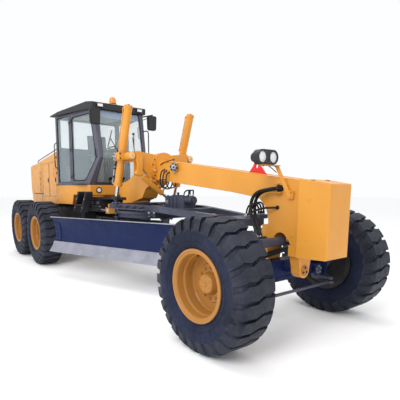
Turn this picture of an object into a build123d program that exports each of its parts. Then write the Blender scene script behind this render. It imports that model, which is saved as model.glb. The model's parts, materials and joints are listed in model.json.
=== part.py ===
from build123d import *
from math import cos, hypot, pi, sin, sqrt
import os

# Motor grader, millimetres. +X forward, +Y the machine's left, +Z up, ground at z = 0.
# The right side is the one at negative y. "Rest" is the parked pose.

# Between pieces that seat on, turn in or slide in each other
RUN_GAP = 0.3

# Wheels and axles
TYRE_RADIUS = 674.0
TYRE_WIDTH = 445.0
TYRE_WALL = 60.0
SIDEWALL_TOP = 500.0
SHOULDER_FOOT = 545.0
LUG_COUNT = 26
LUG_DEPTH = 28.0
TRACK_HALF = 1078.0
RIM_RADIUS = 322.0
RIM_FLANGE = 364.0
RIM_HALF = 198.0
RIM_WALL = 12.0
DISC_INSET = -40.0
DISC_THICK = 18.0
HUB_RADIUS = 112.0
HUB_INNER = -120.0
HUB_CAP = 62.0
SPINDLE_RADIUS = 70.0
SPINDLE_REACH = 34.0
FRONT_AXLE_X = 3750.0
WHEELBASE = 6219.0
TANDEM_SPACING = 1538.0
TANDEM_X = FRONT_AXLE_X - WHEELBASE
MID_AXLE_X = TANDEM_X + TANDEM_SPACING / 2
REAR_AXLE_X = TANDEM_X - TANDEM_SPACING / 2
AXLE_Z = TYRE_RADIUS

# Steering and leaning
KINGPIN_Y = TRACK_HALF - 318.0
LEAN_Y = KINGPIN_Y - 160.0
LEAN_Z = 620.0
LEAN_PIN_RADIUS = 30.0
CENTRE_PIN_Z = 720.0
CENTRE_PIN_RADIUS = 55.0
KINGPIN_RADIUS = 35.0
KINGPIN_BOSS = 60.0
LEAN_BAR_X = FRONT_AXLE_X + 110.0
LEAN_BAR_Y = LEAN_Y
LEAN_BAR_Z = 1030.0
LEAN_BAR_RADIUS = 50.0
LEAN_BAR_NECK = 24.0
LEAN_BAR_PIN = 20.0
LEAN_CYLINDER_X = FRONT_AXLE_X - 20.0
LEAN_CYLINDER_FOOT = (-330.0, 850.0)
LEAN_CYLINDER_EYE = (LEAN_Y, 960.0)
LEAN_CYLINDER_RADIUS = 30.0
LEAN_CYLINDER_BORE = 24.0
LEAN_ROD_RADIUS = 15.0
LEAN_FOOT_PIN = 14.0
STEER_ARM = 190.0
TIE_Z = 455.0
TIE_RADIUS = 18.0
TIE_BALL = 26.0
AXLE_HALF_WIDTH = 75.0

# Frame joint between front and rear frames
HINGE_X = 200.0
HINGE_PIN_RADIUS = 45.0
YOKE_RADIUS = 110.0
YOKE_LOW = (1175.0, 1207.0)
TONGUE = (1217.0, 1405.0)
YOKE_HIGH = (1415.0, 1450.0)
SLOT_TOP = 1460.0
SLOT_FRONT = HINGE_X + 135.0

# Front frame
BEAM_HALF = 150.0
BEAM_TOP = 1980.0
BLOCK_BACK_HALF = 260.0
BLOCK_FRONT_HALF = 190.0
BLOCK_BACK_X = FRONT_AXLE_X + 400.0
FRONT_FACE_X = FRONT_AXLE_X + 700.0
BLOCK_BOTTOM = 900.0
BLOCK_TOP_FRONT = 1650.0
BLOCK_TOP_BACK = 1700.0
BLOCK_ROUND = 16.0

# Saddle and lift cylinders
SADDLE_X = 1330.0
SADDLE_Z = 1950.0
SADDLE_RADIUS = 245.0
LIFT_Y = 600.0
LIFT_EYE = (810.0, 1430.0)
LIFT_TOP = (1300.0, 2870.0)
TRUNNION_UP = 729.0
LIFT_BARREL_FROM = 250.0
LIFT_BARREL_RADIUS = 62.0
LIFT_BORE = 50.0
LIFT_ROD_RADIUS = 30.0
LIFT_BALL = 42.0
TRUNNION_RADIUS = 26.0
YOKE_WALL = 38.0
YOKE_INSIDE = LIFT_BARREL_RADIUS + 18.0

# Centre-shift cylinder: its two ends in y and z
SHIFT_X = 1330.0
SHIFT_TOP = (-470.0, 1865.0)
SHIFT_EYE = (150.0, 1420.0)
SHIFT_BARREL_RADIUS = 45.0
SHIFT_BORE = 36.0
SHIFT_ROD_RADIUS = 24.0
CYLINDER_PIN = 18.0

# Articulation cylinders
ARTIC_Z = 1230.0
ARTIC_BARREL_X = -620.0
ARTIC_BARREL_Y = 540.0
ARTIC_EYE_X = 370.0
ARTIC_EYE_Y = 540.0
ARTIC_BARREL_RADIUS = 40.0
ARTIC_BORE = 32.0
ARTIC_ROD_RADIUS = 22.0
LUG_IN = 30.0
LUG_OUT = 52.0
BRACKET_NEAR = 440.0
BRACKET_WALL = 469.0
BRACKET_FRONT = 491.0

# Drawbar, circle and blade
BALL_X = FRONT_AXLE_X - 210.0
BALL_Z = 1100.0
BALL_RADIUS = 55.0
DRAWBAR_REAR = 640.0
DRAWBAR_HALF = 640.0
DRAWBAR_DEEP = 85.0
DRAWBAR_POCKET = 50.0
FLANGE_LOW = 1285.0
FLANGE_THICK = 15.0
CIRCLE_X = 1100.0
RING_OUTER = 650.0
RING_DRUM = 620.0
RING_INNER = 560.0
TOOTH_ROOT = 586.0
TOOTH_COUNT = 60
PINION_RADIUS = 90.0
PINION_GAP = 8.0
RING_BOTTOM = 1150.0
RING_FLANGE = 1215.0
RING_TOP = 1255.0
BLADE_TURN = -70.0
BLADE_LENGTH = 3660.0
BLADE_HEIGHT = 610.0
BLADE_BOTTOM = 500.0
BLADE_SHIFT = -50.0
BLADE_FACE = 730.0
BLADE_SAG = 115.0
BLADE_PLATE = 18.0
EDGE_THICK = 28.0
EDGE_HEIGHT = 150.0
EDGE_LIP = 30.0
PITCH_X = 500.0
PITCH_Z = 720.0
PITCH_PIN = 30.0
ARM_Y = 470.0
ARM_THICK = 40.0
PLATE_Y = 400.0
PLATE_THICK = 60.0
RAIL_X = 565.0
RAIL_HALF = 20.0
RAIL_ZS = (650.0, 910.0)
RAIL_REACH = 1050.0

# Rear frame
RAIL_OUT = 460.0
RAIL_THICK = 60.0
RAIL_BOTTOM = 1000.0
RAIL_TOP = 1260.0
CHASSIS_REAR = -4150.0
CASE_OUTER = TRACK_HALF - TYRE_WIDTH / 2 - 55.5
CASE_INNER = CASE_OUTER - 180.0
CASE_HALF_HEIGHT = 230.0
LADDER_Y = 612.0
HITCH_BORE = 26.0

# Cab
CAB_REAR = -1660.0
CAB_REAR_HALF = TRACK_HALF - TYRE_WIDTH / 2 - 105.5
CAB_FRONT_HALF = 500.0
CAB_FLOOR = 1690.0
CAB_EAVES = 3150.0
CAB_KNEE_Z = 2200.0
CAB_FRONT_LOW = -400.0
CAB_FRONT_KNEE = 0.0
CAB_FRONT_HIGH = -180.0
CAB_WALL = 50.0
DOOR_REAR = -1050.0
DOOR_GAP = 6.0
DOOR_THICK = 40.0
HINGE_OUT = 14.0
HINGE_BARREL = 12.0
HINGE_PIN = 6.0
HINGE_TALL = 40.0
HINGE_ZS = (1880.0, 2420.0, 2960.0)
GLASS = 6.0

# Hood
HOOD_FRONT = -1690.0
HOOD_REAR = -4050.0
HOOD_FRONT_HALF = CAB_REAR_HALF - 5.0
HOOD_REAR_HALF = 610.0
HOOD_BOTTOM = 1290.0
HOOD_TOP_FRONT = 2450.0
HOOD_TOP_REAR = 2270.0
HOOD_SHEET = 20.0
HOOD_ROUND = 60.0
TAIL_REAR = -4450.0
ENGINE_BOTTOM = 1110.0
LOUVRE_X = -3290.0
LOUVRE_ZS = (1597.0, 1737.0, 1876.0, 2026.0)

# Roof
ROOF_REAR = CAB_REAR - 150.0
ROOF_FRONT = CAB_FRONT_HIGH + 50.0
FASCIA_DROP = 55.0
BEACON_X = CAB_FRONT_HIGH - 250.0
BEACON_SEAT = CAB_EAVES + 118.0

# Raised panel of the roof: height, inset
PANEL_STEPS = ((CAB_EAVES + 10.0, 50.0), (CAB_EAVES + 130.0, 170.0))

# Twin lamp on the beam's right
LAMP_X = 3845.0
LAMP_Y = -384.0
LAMP_Z = 1930.0
LAMP_SPREAD = 84.0
LAMP_RADIUS = 76.0
LENS_RADIUS = 60.0

HOSE_RADIUS = 19.0
THIN_HOSE_RADIUS = 12.0

# Groove between two lugs: place across the tread, shift round the tyre, width
GROOVE = (
    (-240.0, -64.0, 70.0),
    (-150.0, -14.0, 44.0),
    (-50.0, -22.0, 34.0),
    (50.0, 22.0, 34.0),
    (150.0, 14.0, 44.0),
    (240.0, 64.0, 70.0),
)

# Drawbar's top along its length: x, z
DRAWBAR_TOP = (
    (600.0, 1370.0),
    (1900.0, 1345.0),
    (2700.0, 1290.0),
    (BALL_X - 290.0, 1247.0),
    (BALL_X + 60.0, 1242.0),
)


def block(x0, x1, y0, y1, z0, z1):
    """Box between two corners."""
    size = Box(x1 - x0, y1 - y0, z1 - z0)
    return Pos((x0 + x1) / 2, (y0 + y1) / 2, (z0 + z1) / 2) * size


def bar(start, end, radius):
    """Round bar from one point to another."""
    a, b = Vector(*start), Vector(*end)
    along = b - a
    place = Plane(origin=a, z_dir=along)
    return place * Cylinder(radius, along.length, align=(Align.CENTER, Align.CENTER, Align.MIN))


def pin_x(x0, x1, y, z, radius):
    """Round bar along X."""
    return bar((x0, y, z), (x1, y, z), radius)


def pin_y(x, y0, y1, z, radius):
    """Round bar along Y."""
    return bar((x, y0, z), (x, y1, z), radius)


def pin_z(x, y, z0, z1, radius):
    """Round bar along Z."""
    return bar((x, y, z0), (x, y, z1), radius)


def tube(start, end, radius, bore):
    """Round tube from one point to another."""
    return bar(start, end, radius) - bar(start, end, bore)


def side_body(outline, y0, y1):
    """Closed curve in x and z, as thick as from y0 to y1."""
    return extrude(Plane.XZ.offset(-y1) * make_face(outline), amount=y1 - y0)


def side_plate(points, y0, y1):
    """Outline of straight lines in x and z, as thick as from y0 to y1."""
    return side_body(Polyline(*points, close=True), y0, y1)


def plan_plate(points, z0, z1):
    """Outline in x and y, from z0 up to z1."""
    face = Pos(0, 0, z0) * make_face(Polyline(*points, close=True))
    return extrude(face, amount=z1 - z0)


def cross_plate(points, x0, x1):
    """Outline in y and z, from x0 to x1."""
    face = Plane.YZ.offset(x0) * make_face(Polyline(*points, close=True))
    return extrude(face, amount=x1 - x0)


def turned(points):
    """Body of revolution about X from an outline in axial place and radius."""
    return revolve(make_face(Polyline(*points, close=True)), Axis.X, 360)


def other_side(shape):
    return mirror(shape, about=Plane.XZ)


def mirrored(shape):
    return shape + other_side(shape)


# Wheels


def tyre_body():
    """Tyre about X with lugs left between zigzag grooves, outboard at positive X."""
    half = TYRE_WIDTH / 2
    inner = half - TYRE_WALL
    bead = RIM_RADIUS + RUN_GAP
    foot_x, foot_r = RIM_HALF - 16, RIM_FLANGE + 4
    tread = [(half, SIDEWALL_TOP), (half, SHOULDER_FOOT)]
    tread += [(half - 22, TYRE_RADIUS - 26), (half - 56, TYRE_RADIUS)]
    inside = [
        (foot_x, foot_r),
        (RIM_HALF - 25, bead),
        (RIM_HALF - 60, bead),
        (inner, 430),
        (inner, 560),
        (inner - 30, TYRE_RADIUS - LUG_DEPTH - 50),
    ]
    outline = Polyline(*tread, *[(-a, r) for a, r in reversed(tread)])
    outline += Polyline(*inside, *[(-a, r) for a, r in reversed(inside)])
    over, up = half - foot_x, SIDEWALL_TOP - foot_r
    bend = (over**2 + up**2) / (2 * over)
    middle = half - bend + sqrt(bend**2 - (up / 2) ** 2)
    for side in (1, -1):
        bulge = (side * middle, foot_r + up / 2)
        outline += ThreePointArc((side * foot_x, foot_r), bulge, (side * half, SIDEWALL_TOP))
    return revolve(make_face(outline), Axis.X, 360) - tread_grooves()


def tread_grooves():
    """Grooves across the tread and down its shoulders, with a lug at the tyre's foot."""
    half = TYRE_WIDTH / 2
    root = TYRE_RADIUS - LUG_DEPTH
    floor = [(half - 72, root), (half - 36, root - 28)]
    floor += [(half - 22, SHOULDER_FOOT + 15), (half + 6, SHOULDER_FOOT - 17)]
    rim = [(half + 6, TYRE_RADIUS + 20), (-half - 6, TYRE_RADIUS + 20)]
    beyond_root = turned([(-a, r) for a, r in reversed(floor)] + floor + rim)
    band = [(a, shift - width / 2) for a, shift, width in GROOVE]
    band += [(a, shift + width / 2) for a, shift, width in reversed(GROOVE)]
    groove = plan_plate(band, SIDEWALL_TOP, TYRE_RADIUS + 10) & beyond_root
    pitch = 360 / LUG_COUNT
    return [Rot((step + 0.5) * pitch, 0, 0) * groove for step in range(LUG_COUNT)]


def rim_body():
    """Rim with its disc, hub and cap about X, outboard at positive X."""
    deep = RIM_RADIUS - RIM_WALL
    face = DISC_INSET + DISC_THICK
    shell = [
        (-RIM_HALF, RIM_FLANGE),
        (-RIM_HALF + 16, RIM_FLANGE),
        (-RIM_HALF + 16, RIM_RADIUS),
        (RIM_HALF - 16, RIM_RADIUS),
        (RIM_HALF - 16, RIM_FLANGE),
        (RIM_HALF - 5, RIM_FLANGE),
        (RIM_HALF, RIM_FLANGE - 6),
        (RIM_HALF, RIM_FLANGE - 22),
        (RIM_HALF - 10, RIM_FLANGE - 30),
        (RIM_HALF - 10, deep + 10),
        (RIM_HALF - 26, deep),
        (RIM_HALF / 2, deep - 4),
        (RIM_HALF / 2 - 20, deep - 16),
        (face + 16, deep - 20),
        (face, deep - 36),
        (face, HUB_RADIUS + 88),
        (face + 8, HUB_RADIUS + 80),
        (face + 8, HUB_RADIUS + 6),
        (HUB_CAP - 30, HUB_RADIUS - 8),
        (HUB_CAP - 10, HUB_RADIUS - 14),
        (HUB_CAP, HUB_RADIUS - 26),
        (HUB_CAP, 0),
        (SPINDLE_REACH + 4, 0),
        (SPINDLE_REACH + 4, SPINDLE_RADIUS + RUN_GAP),
        (HUB_INNER, SPINDLE_RADIUS + RUN_GAP),
        (HUB_INNER, HUB_RADIUS),
        (DISC_INSET, HUB_RADIUS),
        (DISC_INSET, deep),
        (-RIM_HALF, deep),
    ]
    return turned(shell)


def at_wheel(shape, axle_x, side):
    """Stands a body of revolution about X at a wheel, outboard outwards."""
    return Pos(axle_x, side * TRACK_HALF, AXLE_Z) * Rot(0, 0, 90 * side) * shape


# Rear frame


def rear_chassis():
    rail = side_plate(
        [
            (CHASSIS_REAR, RAIL_BOTTOM),
            (-1150, 940),
            (-1000, YOKE_LOW[0]),
            (-150, YOKE_LOW[0]),
            (-150, YOKE_HIGH[1]),
            (-1100, YOKE_HIGH[1]),
            (-1250, RAIL_TOP),
            (CHASSIS_REAR, RAIL_TOP),
        ],
        RAIL_OUT - RAIL_THICK,
        RAIL_OUT,
    )
    shape = mirrored(rail)
    inner = RAIL_OUT - RAIL_THICK + 1
    for x0, x1, z0, z1 in (
        (CHASSIS_REAR, CHASSIS_REAR + 60, RAIL_BOTTOM, RAIL_TOP),
        (TANDEM_X - 200, TANDEM_X + 200, RAIL_BOTTOM + 10, ENGINE_BOTTOM - RUN_GAP),
        (-3500, -3420, RAIL_BOTTOM + 10, ENGINE_BOTTOM - RUN_GAP),
        (-1150, -1090, 1180, 1250),
        (-210, -150, YOKE_LOW[0], YOKE_HIGH[1]),
    ):
        shape += block(x0, x1, -inner, inner, z0, z1)
    for z0, z1 in (YOKE_LOW, YOKE_HIGH):
        plate = plan_plate(
            [
                (-210, RAIL_OUT),
                (-150, RAIL_OUT),
                (-60, RAIL_OUT - 40),
                (HINGE_X + 10, YOKE_RADIUS),
                (HINGE_X + 10, -YOKE_RADIUS),
                (-60, 40 - RAIL_OUT),
                (-150, -RAIL_OUT),
                (-210, -RAIL_OUT),
            ],
            z0,
            z1,
        )
        shape += plate + pin_z(HINGE_X, 0, z0, z1, YOKE_RADIUS)
    shape += pin_z(HINGE_X, 0, YOKE_LOW[0], YOKE_HIGH[1], HINGE_PIN_RADIUS)
    for side in (1, -1):
        shape += articulation_lugs(side)
        for x in (-1800, -2900, -3950):
            y0, y1 = sorted((side * (RAIL_OUT - 5), side * (hood_half_at(x) - 8)))
            shape += block(x - 30, x + 30, y0, y1, HOOD_BOTTOM - 70, HOOD_BOTTOM - RUN_GAP)
    hitch = block(CHASSIS_REAR - 150, CHASSIS_REAR + 5, -70, 70, 1080, 1130)
    hitch += block(CHASSIS_REAR - 20, CHASSIS_REAR + 5, -110, 110, 1010, 1200)
    return shape + hitch - pin_z(CHASSIS_REAR - 90, 0, 1000, 1200, HITCH_BORE)


def articulation_lugs(side):
    """Pin lugs of the articulation cylinder on the rear frame."""
    x, y = ARTIC_BARREL_X, ARTIC_BARREL_Y
    low, high = ARTIC_Z - LUG_OUT, ARTIC_Z + LUG_OUT
    shape = pin_z(x, y, low, high, CYLINDER_PIN)
    for z in (low, high - 20):
        shape += block(x - 45, x + 45, RAIL_OUT - 5, y, z, z + 20) + pin_z(x, y, z, z + 20, 45)
    return shape if side > 0 else other_side(shape)


def tandem_axle():
    """Axle housing with a chain case on each side, its ends round about the two wheels' axes."""
    inside = RAIL_OUT - RAIL_THICK - RUN_GAP
    shape = pin_y(TANDEM_X, -CASE_INNER - 5, CASE_INNER + 5, AXLE_Z, 150)
    shape += pin_y(TANDEM_X, -250, 250, AXLE_Z, 260)
    shape += block(TANDEM_X - 180, TANDEM_X + 180, -inside, inside, AXLE_Z + 100, RAIL_BOTTOM + 10 - RUN_GAP)
    for side in (1, -1):
        shape += chain_case() if side > 0 else other_side(chain_case())
    return shape


def chain_case():
    radius = CASE_HALF_HEIGHT
    low, high = AXLE_Z - radius + 25, AXLE_Z + radius - 25
    case = block(REAR_AXLE_X, MID_AXLE_X, CASE_INNER, CASE_OUTER, low, high)
    case += pin_y(TANDEM_X, CASE_INNER, CASE_OUTER, AXLE_Z, radius)
    case += pin_y(TANDEM_X, CASE_INNER - 20, CASE_INNER + 1, AXLE_Z, radius - 30)
    for x in (REAR_AXLE_X, MID_AXLE_X):
        case += pin_y(x, CASE_INNER, CASE_OUTER, AXLE_Z, radius - 25)
        case += pin_y(x, CASE_OUTER, CASE_OUTER + 145, AXLE_Z, 130)
        case += pin_y(x, CASE_OUTER, TRACK_HALF + SPINDLE_REACH, AXLE_Z, SPINDLE_RADIUS)
        case += block(x - 150, x + 150, CASE_INNER + 30, CASE_OUTER - 30, high - 1, high + 12)
    return case


def engine_block():
    return block(-3550, -2250, -330, 330, ENGINE_BOTTOM, 1950)


def hood_half_at(x):
    share = (HOOD_FRONT - x) / (HOOD_FRONT - HOOD_REAR)
    return HOOD_FRONT_HALF + share * (HOOD_REAR_HALF - HOOD_FRONT_HALF)


def hood_top_at(x):
    share = (HOOD_FRONT - x) / (HOOD_FRONT - HOOD_REAR)
    return HOOD_TOP_FRONT + share * (HOOD_TOP_REAR - HOOD_TOP_FRONT)


def hood_form(inset, low, rounding):
    """Tapering body of the hood at an inset, its two long top edges rounded."""
    x0, x1 = HOOD_FRONT - inset, HOOD_REAR + inset
    half0, half1 = hood_half_at(x0) - inset, hood_half_at(x1) - inset
    plan = plan_plate([(x0, half0), (x0, -half0), (x1, -half1), (x1, half1)], low, HOOD_TOP_FRONT + 50)
    top = [(x, hood_top_at(x) - inset) for x in (HOOD_FRONT + 5, HOOD_REAR - 5)]
    form = plan & side_plate([(HOOD_FRONT + 5, low)] + top + [(HOOD_REAR - 5, low)], -900, 900)
    lid = form.faces().sort_by(Axis.Z)[-1]
    return fillet(lid.edges().sort_by(SortBy.LENGTH)[-2:], rounding)


def louvre(side, z):
    """Three slats that lean outwards across one of the hood's side openings."""
    y = side * hood_half_at(LOUVRE_X)
    y0, y1 = sorted((y, y - side * HOOD_SHEET))
    shape = Part()
    for step in (-1, 0, 1):
        foot = z + step * 23 - 10
        points = [(y0, foot), (y1, foot), (y1, foot + 8), (y0, foot + 8)]
        shape += cross_plate([(a, b + 6 * (a == y0)) for a, b in points], LOUVRE_X - 42, LOUVRE_X + 42)
    return shape


def tail():
    """Radiator housing behind the hood, narrower to the rear, with a slatted grille."""
    profile = side_plate(
        [
            (HOOD_REAR + 1, HOOD_BOTTOM),
            (HOOD_REAR + 1, HOOD_TOP_REAR - 10),
            (TAIL_REAR + 30, 2210),
            (TAIL_REAR, 2150),
            (TAIL_REAR, 1720),
            (TAIL_REAR + 160, 1600),
            (TAIL_REAR + 260, HOOD_BOTTOM),
        ],
        -HOOD_REAR_HALF,
        HOOD_REAR_HALF,
    )
    corner = TAIL_REAR + 150
    half, end = HOOD_REAR_HALF, HOOD_REAR_HALF - 130
    plan = [(HOOD_REAR + 2, half), (HOOD_REAR + 2, -half), (corner, -half)]
    plan += [(TAIL_REAR, -end), (TAIL_REAR, end), (corner, half)]
    shape = profile & plan_plate(plan, 1200, 2400)
    shape -= block(TAIL_REAR - 1, TAIL_REAR + 40, 60 - end, end - 60, 1760, 2110)
    back, deep = TAIL_REAR + 5, TAIL_REAR + 41
    for step in range(7):
        z = 1785 + step * 50
        slat = [(back, z), (deep, z + 22), (deep, z + 32), (back, z + 10)]
        shape += side_plate(slat, 59 - end, end - 59)
    return shape


def hood_rail(side):
    """Grab rail along the hood's top on two feet."""
    front, rear = HOOD_FRONT - 90, HOOD_REAR + 120
    shape = Part()
    ends = []
    for x in (front, rear):
        y, top = side * (hood_half_at(x) - 110), hood_top_at(x)
        shape += pin_z(x, y, top - 8, top + 90, 10)
        ends.append((x, y, top + 90))
        shape += Pos(x, y, top + 90) * Sphere(10)
    return shape + bar(*ends, 10)


def hood():
    shape = hood_form(0, HOOD_BOTTOM, HOOD_ROUND)
    shape -= hood_form(HOOD_SHEET, HOOD_BOTTOM - 400, HOOD_ROUND - HOOD_SHEET)
    for side in (1, -1):
        y = side * hood_half_at(LOUVRE_X)
        for z in LOUVRE_ZS:
            y0, y1 = sorted((y - side * 60, y + side * 10))
            shape -= block(LOUVRE_X - 40, LOUVRE_X + 40, y0, y1, z - 35, z + 35)
            shape += louvre(side, z)
        shape += hood_rail(side)
    return shape + tail()


# Cab


def cab_half_at(x):
    share = (x - CAB_REAR) / (CAB_FRONT_KNEE - CAB_REAR)
    return CAB_REAR_HALF + share * (CAB_FRONT_HALF - CAB_REAR_HALF)


def cab_front_at(z):
    """Front wall's place at a height above the knee."""
    share = (z - CAB_KNEE_Z) / (CAB_EAVES - CAB_KNEE_Z)
    return CAB_FRONT_KNEE + share * (CAB_FRONT_HIGH - CAB_FRONT_KNEE)


def cab_prism(inset, low, top):
    """Body inside the cab's walls at an inset, between two heights."""
    profile = side_plate(
        [
            (CAB_REAR + inset, low),
            (CAB_FRONT_LOW - inset, low),
            (CAB_FRONT_LOW - inset, CAB_FLOOR + 0.5),
            (CAB_FRONT_KNEE - inset, CAB_KNEE_Z),
            (cab_front_at(top) - inset, top),
            (CAB_REAR + inset, top),
        ],
        -900,
        900,
    )
    rear, front = cab_half_at(CAB_REAR) - inset, cab_half_at(CAB_FRONT_KNEE) - inset
    plan = plan_plate(
        [(CAB_REAR, rear), (CAB_REAR, -rear), (CAB_FRONT_KNEE, -front), (CAB_FRONT_KNEE, front)],
        low,
        top,
    )
    return profile & plan


def door_outline(inset):
    """Door opening's outline in x and z, drawn in by an inset."""
    return [
        (DOOR_REAR + inset, CAB_FLOOR + 30 + inset),
        (CAB_FRONT_LOW - 70 - inset, CAB_FLOOR + 30 + inset),
        (CAB_FRONT_KNEE - 70 - inset, CAB_KNEE_Z),
        (CAB_FRONT_HIGH - 70 - inset, CAB_EAVES - 60 - inset),
        (DOOR_REAR + inset, CAB_EAVES - 60 - inset),
    ]


def side_window(inset):
    return [
        (CAB_REAR + 60 + inset, CAB_FLOOR + 60 + inset),
        (DOOR_REAR - 60 - inset, CAB_FLOOR + 60 + inset),
        (DOOR_REAR - 60 - inset, CAB_EAVES - 60 - inset),
        (CAB_REAR + 60 + inset, CAB_EAVES - 60 - inset),
    ]


def front_window(inset):
    """Outline in y and z through the front wall."""
    half = CAB_FRONT_HALF - 60 - inset
    return [
        (half, CAB_FLOOR + 40 + inset),
        (half, CAB_EAVES - 60 - inset),
        (-half, CAB_EAVES - 60 - inset),
        (-half, CAB_FLOOR + 40 + inset),
    ]


def rear_window(inset):
    half = CAB_REAR_HALF - 90 - inset
    return [
        (half, CAB_FLOOR + 800 + inset),
        (half, CAB_EAVES - 60 - inset),
        (-half, CAB_EAVES - 60 - inset),
        (-half, CAB_FLOOR + 800 + inset),
    ]


def cab_wall(outside, thick):
    """Skin of the cab's walls from one inset to the next."""
    outer = cab_prism(outside, CAB_FLOOR, CAB_EAVES)
    return outer - cab_prism(outside + thick, CAB_FLOOR - 10, CAB_EAVES + 10)


def cab_frame():
    shell = cab_wall(0, CAB_WALL)
    for outline in (door_outline(0), side_window(0)):
        shell -= side_plate(outline, 300, 1000) + side_plate(outline, -1000, -300)
    shell -= cross_plate(front_window(0), -600, 100)
    shell -= cross_plate(rear_window(0), CAB_REAR - 50, CAB_REAR + 100)
    for side in (1, -1):
        for z in HINGE_ZS:
            shell += hinge_leaf(side, DOOR_REAR - 50, DOOR_REAR, z - HINGE_TALL, z)
            shell += bar(*door_hinge(side, z - HINGE_TALL, z + HINGE_TALL), HINGE_PIN)
    return shell


def cab_glass():
    skin = cab_wall(20, GLASS)
    clear = RUN_GAP
    front = skin & cross_plate(front_window(clear), -600, 100)
    rear = skin & cross_plate(rear_window(clear), CAB_REAR, CAB_REAR + 60)
    shape = front + rear
    for y0, y1 in ((300, 1000), (-1000, -300)):
        shape += skin & side_plate(side_window(clear), y0, y1)
    return shape


def door_hinge(side, low, high):
    """Axis of a door's hinges outside the wall, between two heights."""
    y = side * (cab_half_at(DOOR_REAR) + HINGE_OUT)
    return (DOOR_REAR, y, low), (DOOR_REAR, y, high)


def hinge_leaf(side, x0, x1, low, high):
    """Leaf of a hinge that lies on the wall from x0 to x1, as a barrel at the axis."""
    y = cab_half_at((x0 + x1) / 2)
    y0, y1 = sorted((side * (y - 8), side * (y + HINGE_OUT + 4)))
    return block(x0, x1, y0, y1, low, high) + bar(*door_hinge(side, low, high), HINGE_BARREL)


def door(side):
    y0, y1 = (300, 1000) if side > 0 else (-1000, -300)
    leaf = cab_wall(5, DOOR_THICK) & side_plate(door_outline(DOOR_GAP), y0, y1)
    leaf -= side_plate(door_outline(DOOR_GAP + 55), y0, y1)
    for z in HINGE_ZS:
        low, high = z + RUN_GAP, z + HINGE_TALL
        leaf += hinge_leaf(side, DOOR_REAR, DOOR_REAR + 55, low, high)
        leaf -= bar(*door_hinge(side, low - 5, high + 5), HINGE_PIN + RUN_GAP)
    return leaf


def door_pane(side):
    y0, y1 = (300, 1000) if side > 0 else (-1000, -300)
    return cab_wall(20, GLASS) & side_plate(door_outline(DOOR_GAP + 55 + RUN_GAP), y0, y1)


def roof_plan(inset):
    """Roof's outline in x and y, drawn in by an inset."""
    rear, front = CAB_REAR_HALF + 60 - inset, CAB_FRONT_HALF + 70 - inset
    x0, x1 = ROOF_REAR + inset, ROOF_FRONT - inset
    return [(x0, rear), (x0, -rear), (x1, -front), (x1, front)]


def cab_roof():
    """Lid with a raised panel, and a fascia round the cab that is deepest at the front."""
    seat = CAB_EAVES + RUN_GAP
    lid = side_plate(
        [
            (ROOF_REAR, seat),
            (ROOF_FRONT, seat),
            (ROOF_FRONT, CAB_EAVES + 55),
            (ROOF_FRONT - 200, CAB_EAVES + 85),
            (CAB_REAR + 200, CAB_EAVES + 60),
            (ROOF_REAR, CAB_EAVES + 20),
        ],
        -900,
        900,
    )
    shape = lid & plan_plate(roof_plan(0), CAB_EAVES, CAB_EAVES + 100)
    panel = [Pos(0, 0, z) * make_face(Polyline(*roof_plan(inset), close=True)) for z, inset in PANEL_STEPS]
    crown = side_plate(
        [
            (ROOF_REAR, seat),
            (ROOF_FRONT, seat),
            (ROOF_FRONT, CAB_EAVES + 72),
            (ROOF_FRONT - 230, CAB_EAVES + 105),
            (CAB_REAR + 180, CAB_EAVES + 82),
            (ROOF_REAR, CAB_EAVES + 40),
        ],
        -900,
        900,
    )
    shape += loft(panel, ruled=True) & crown
    shape += pin_z(BEACON_X, 0, CAB_EAVES + 60, BEACON_SEAT, 75)
    return shape + roof_fascia()


def roof_fascia():
    """Strip under the lid's rim, outside the front and side walls."""
    wall_x = cab_front_at(CAB_EAVES - FASCIA_DROP) + RUN_GAP
    rear, front = cab_half_at(ROOF_REAR - 10) + RUN_GAP, cab_half_at(wall_x) + RUN_GAP
    inside = [(ROOF_REAR - 10, rear), (ROOF_REAR - 10, -rear), (wall_x, -front), (wall_x, front)]
    low, high = CAB_EAVES - FASCIA_DROP, CAB_EAVES + 1
    ring = plan_plate(roof_plan(0), low, high) - plan_plate(inside, low - 10, high + 10)
    side = [(ROOF_REAR + 100, high), (ROOF_FRONT + 1, high), (ROOF_FRONT + 1, low), (ROOF_FRONT - 150, low)]
    return ring & side_plate(side, -900, 900)


def cab_base():
    """Floor plate with its skirt, deeper at the rear."""
    top = CAB_FLOOR - RUN_GAP
    rear, front = cab_half_at(CAB_REAR), cab_half_at(CAB_FRONT_LOW)
    nose = CAB_FRONT_LOW + 60
    plan = [(CAB_REAR, rear), (CAB_REAR, -rear), (nose, -front), (nose, front)]
    inset = [
        (CAB_REAR + 20, rear - 20),
        (CAB_REAR + 20, 20 - rear),
        (nose - 20, 20 - front),
        (nose - 20, front - 20),
    ]
    skirt = plan_plate(plan, 1300, top) - plan_plate(inset, 1200, top - 25)
    foot = [(CAB_REAR - 10, 1300), (-1080, 1300), (-1000, 1500), (200, 1500)]
    keep = side_plate(foot + [(200, 1800), (CAB_REAR - 10, 1800)], -900, 900)
    shape = skirt & keep
    for x in (-1500, -700):
        for y in (-RAIL_OUT + 5, RAIL_OUT - 55):
            foot_z = RAIL_TOP if x < -1250 else YOKE_HIGH[1]
            shape += block(x - 60, x + 60, y, y + 50, foot_z + RUN_GAP, top - 20)
    return shape


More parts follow.
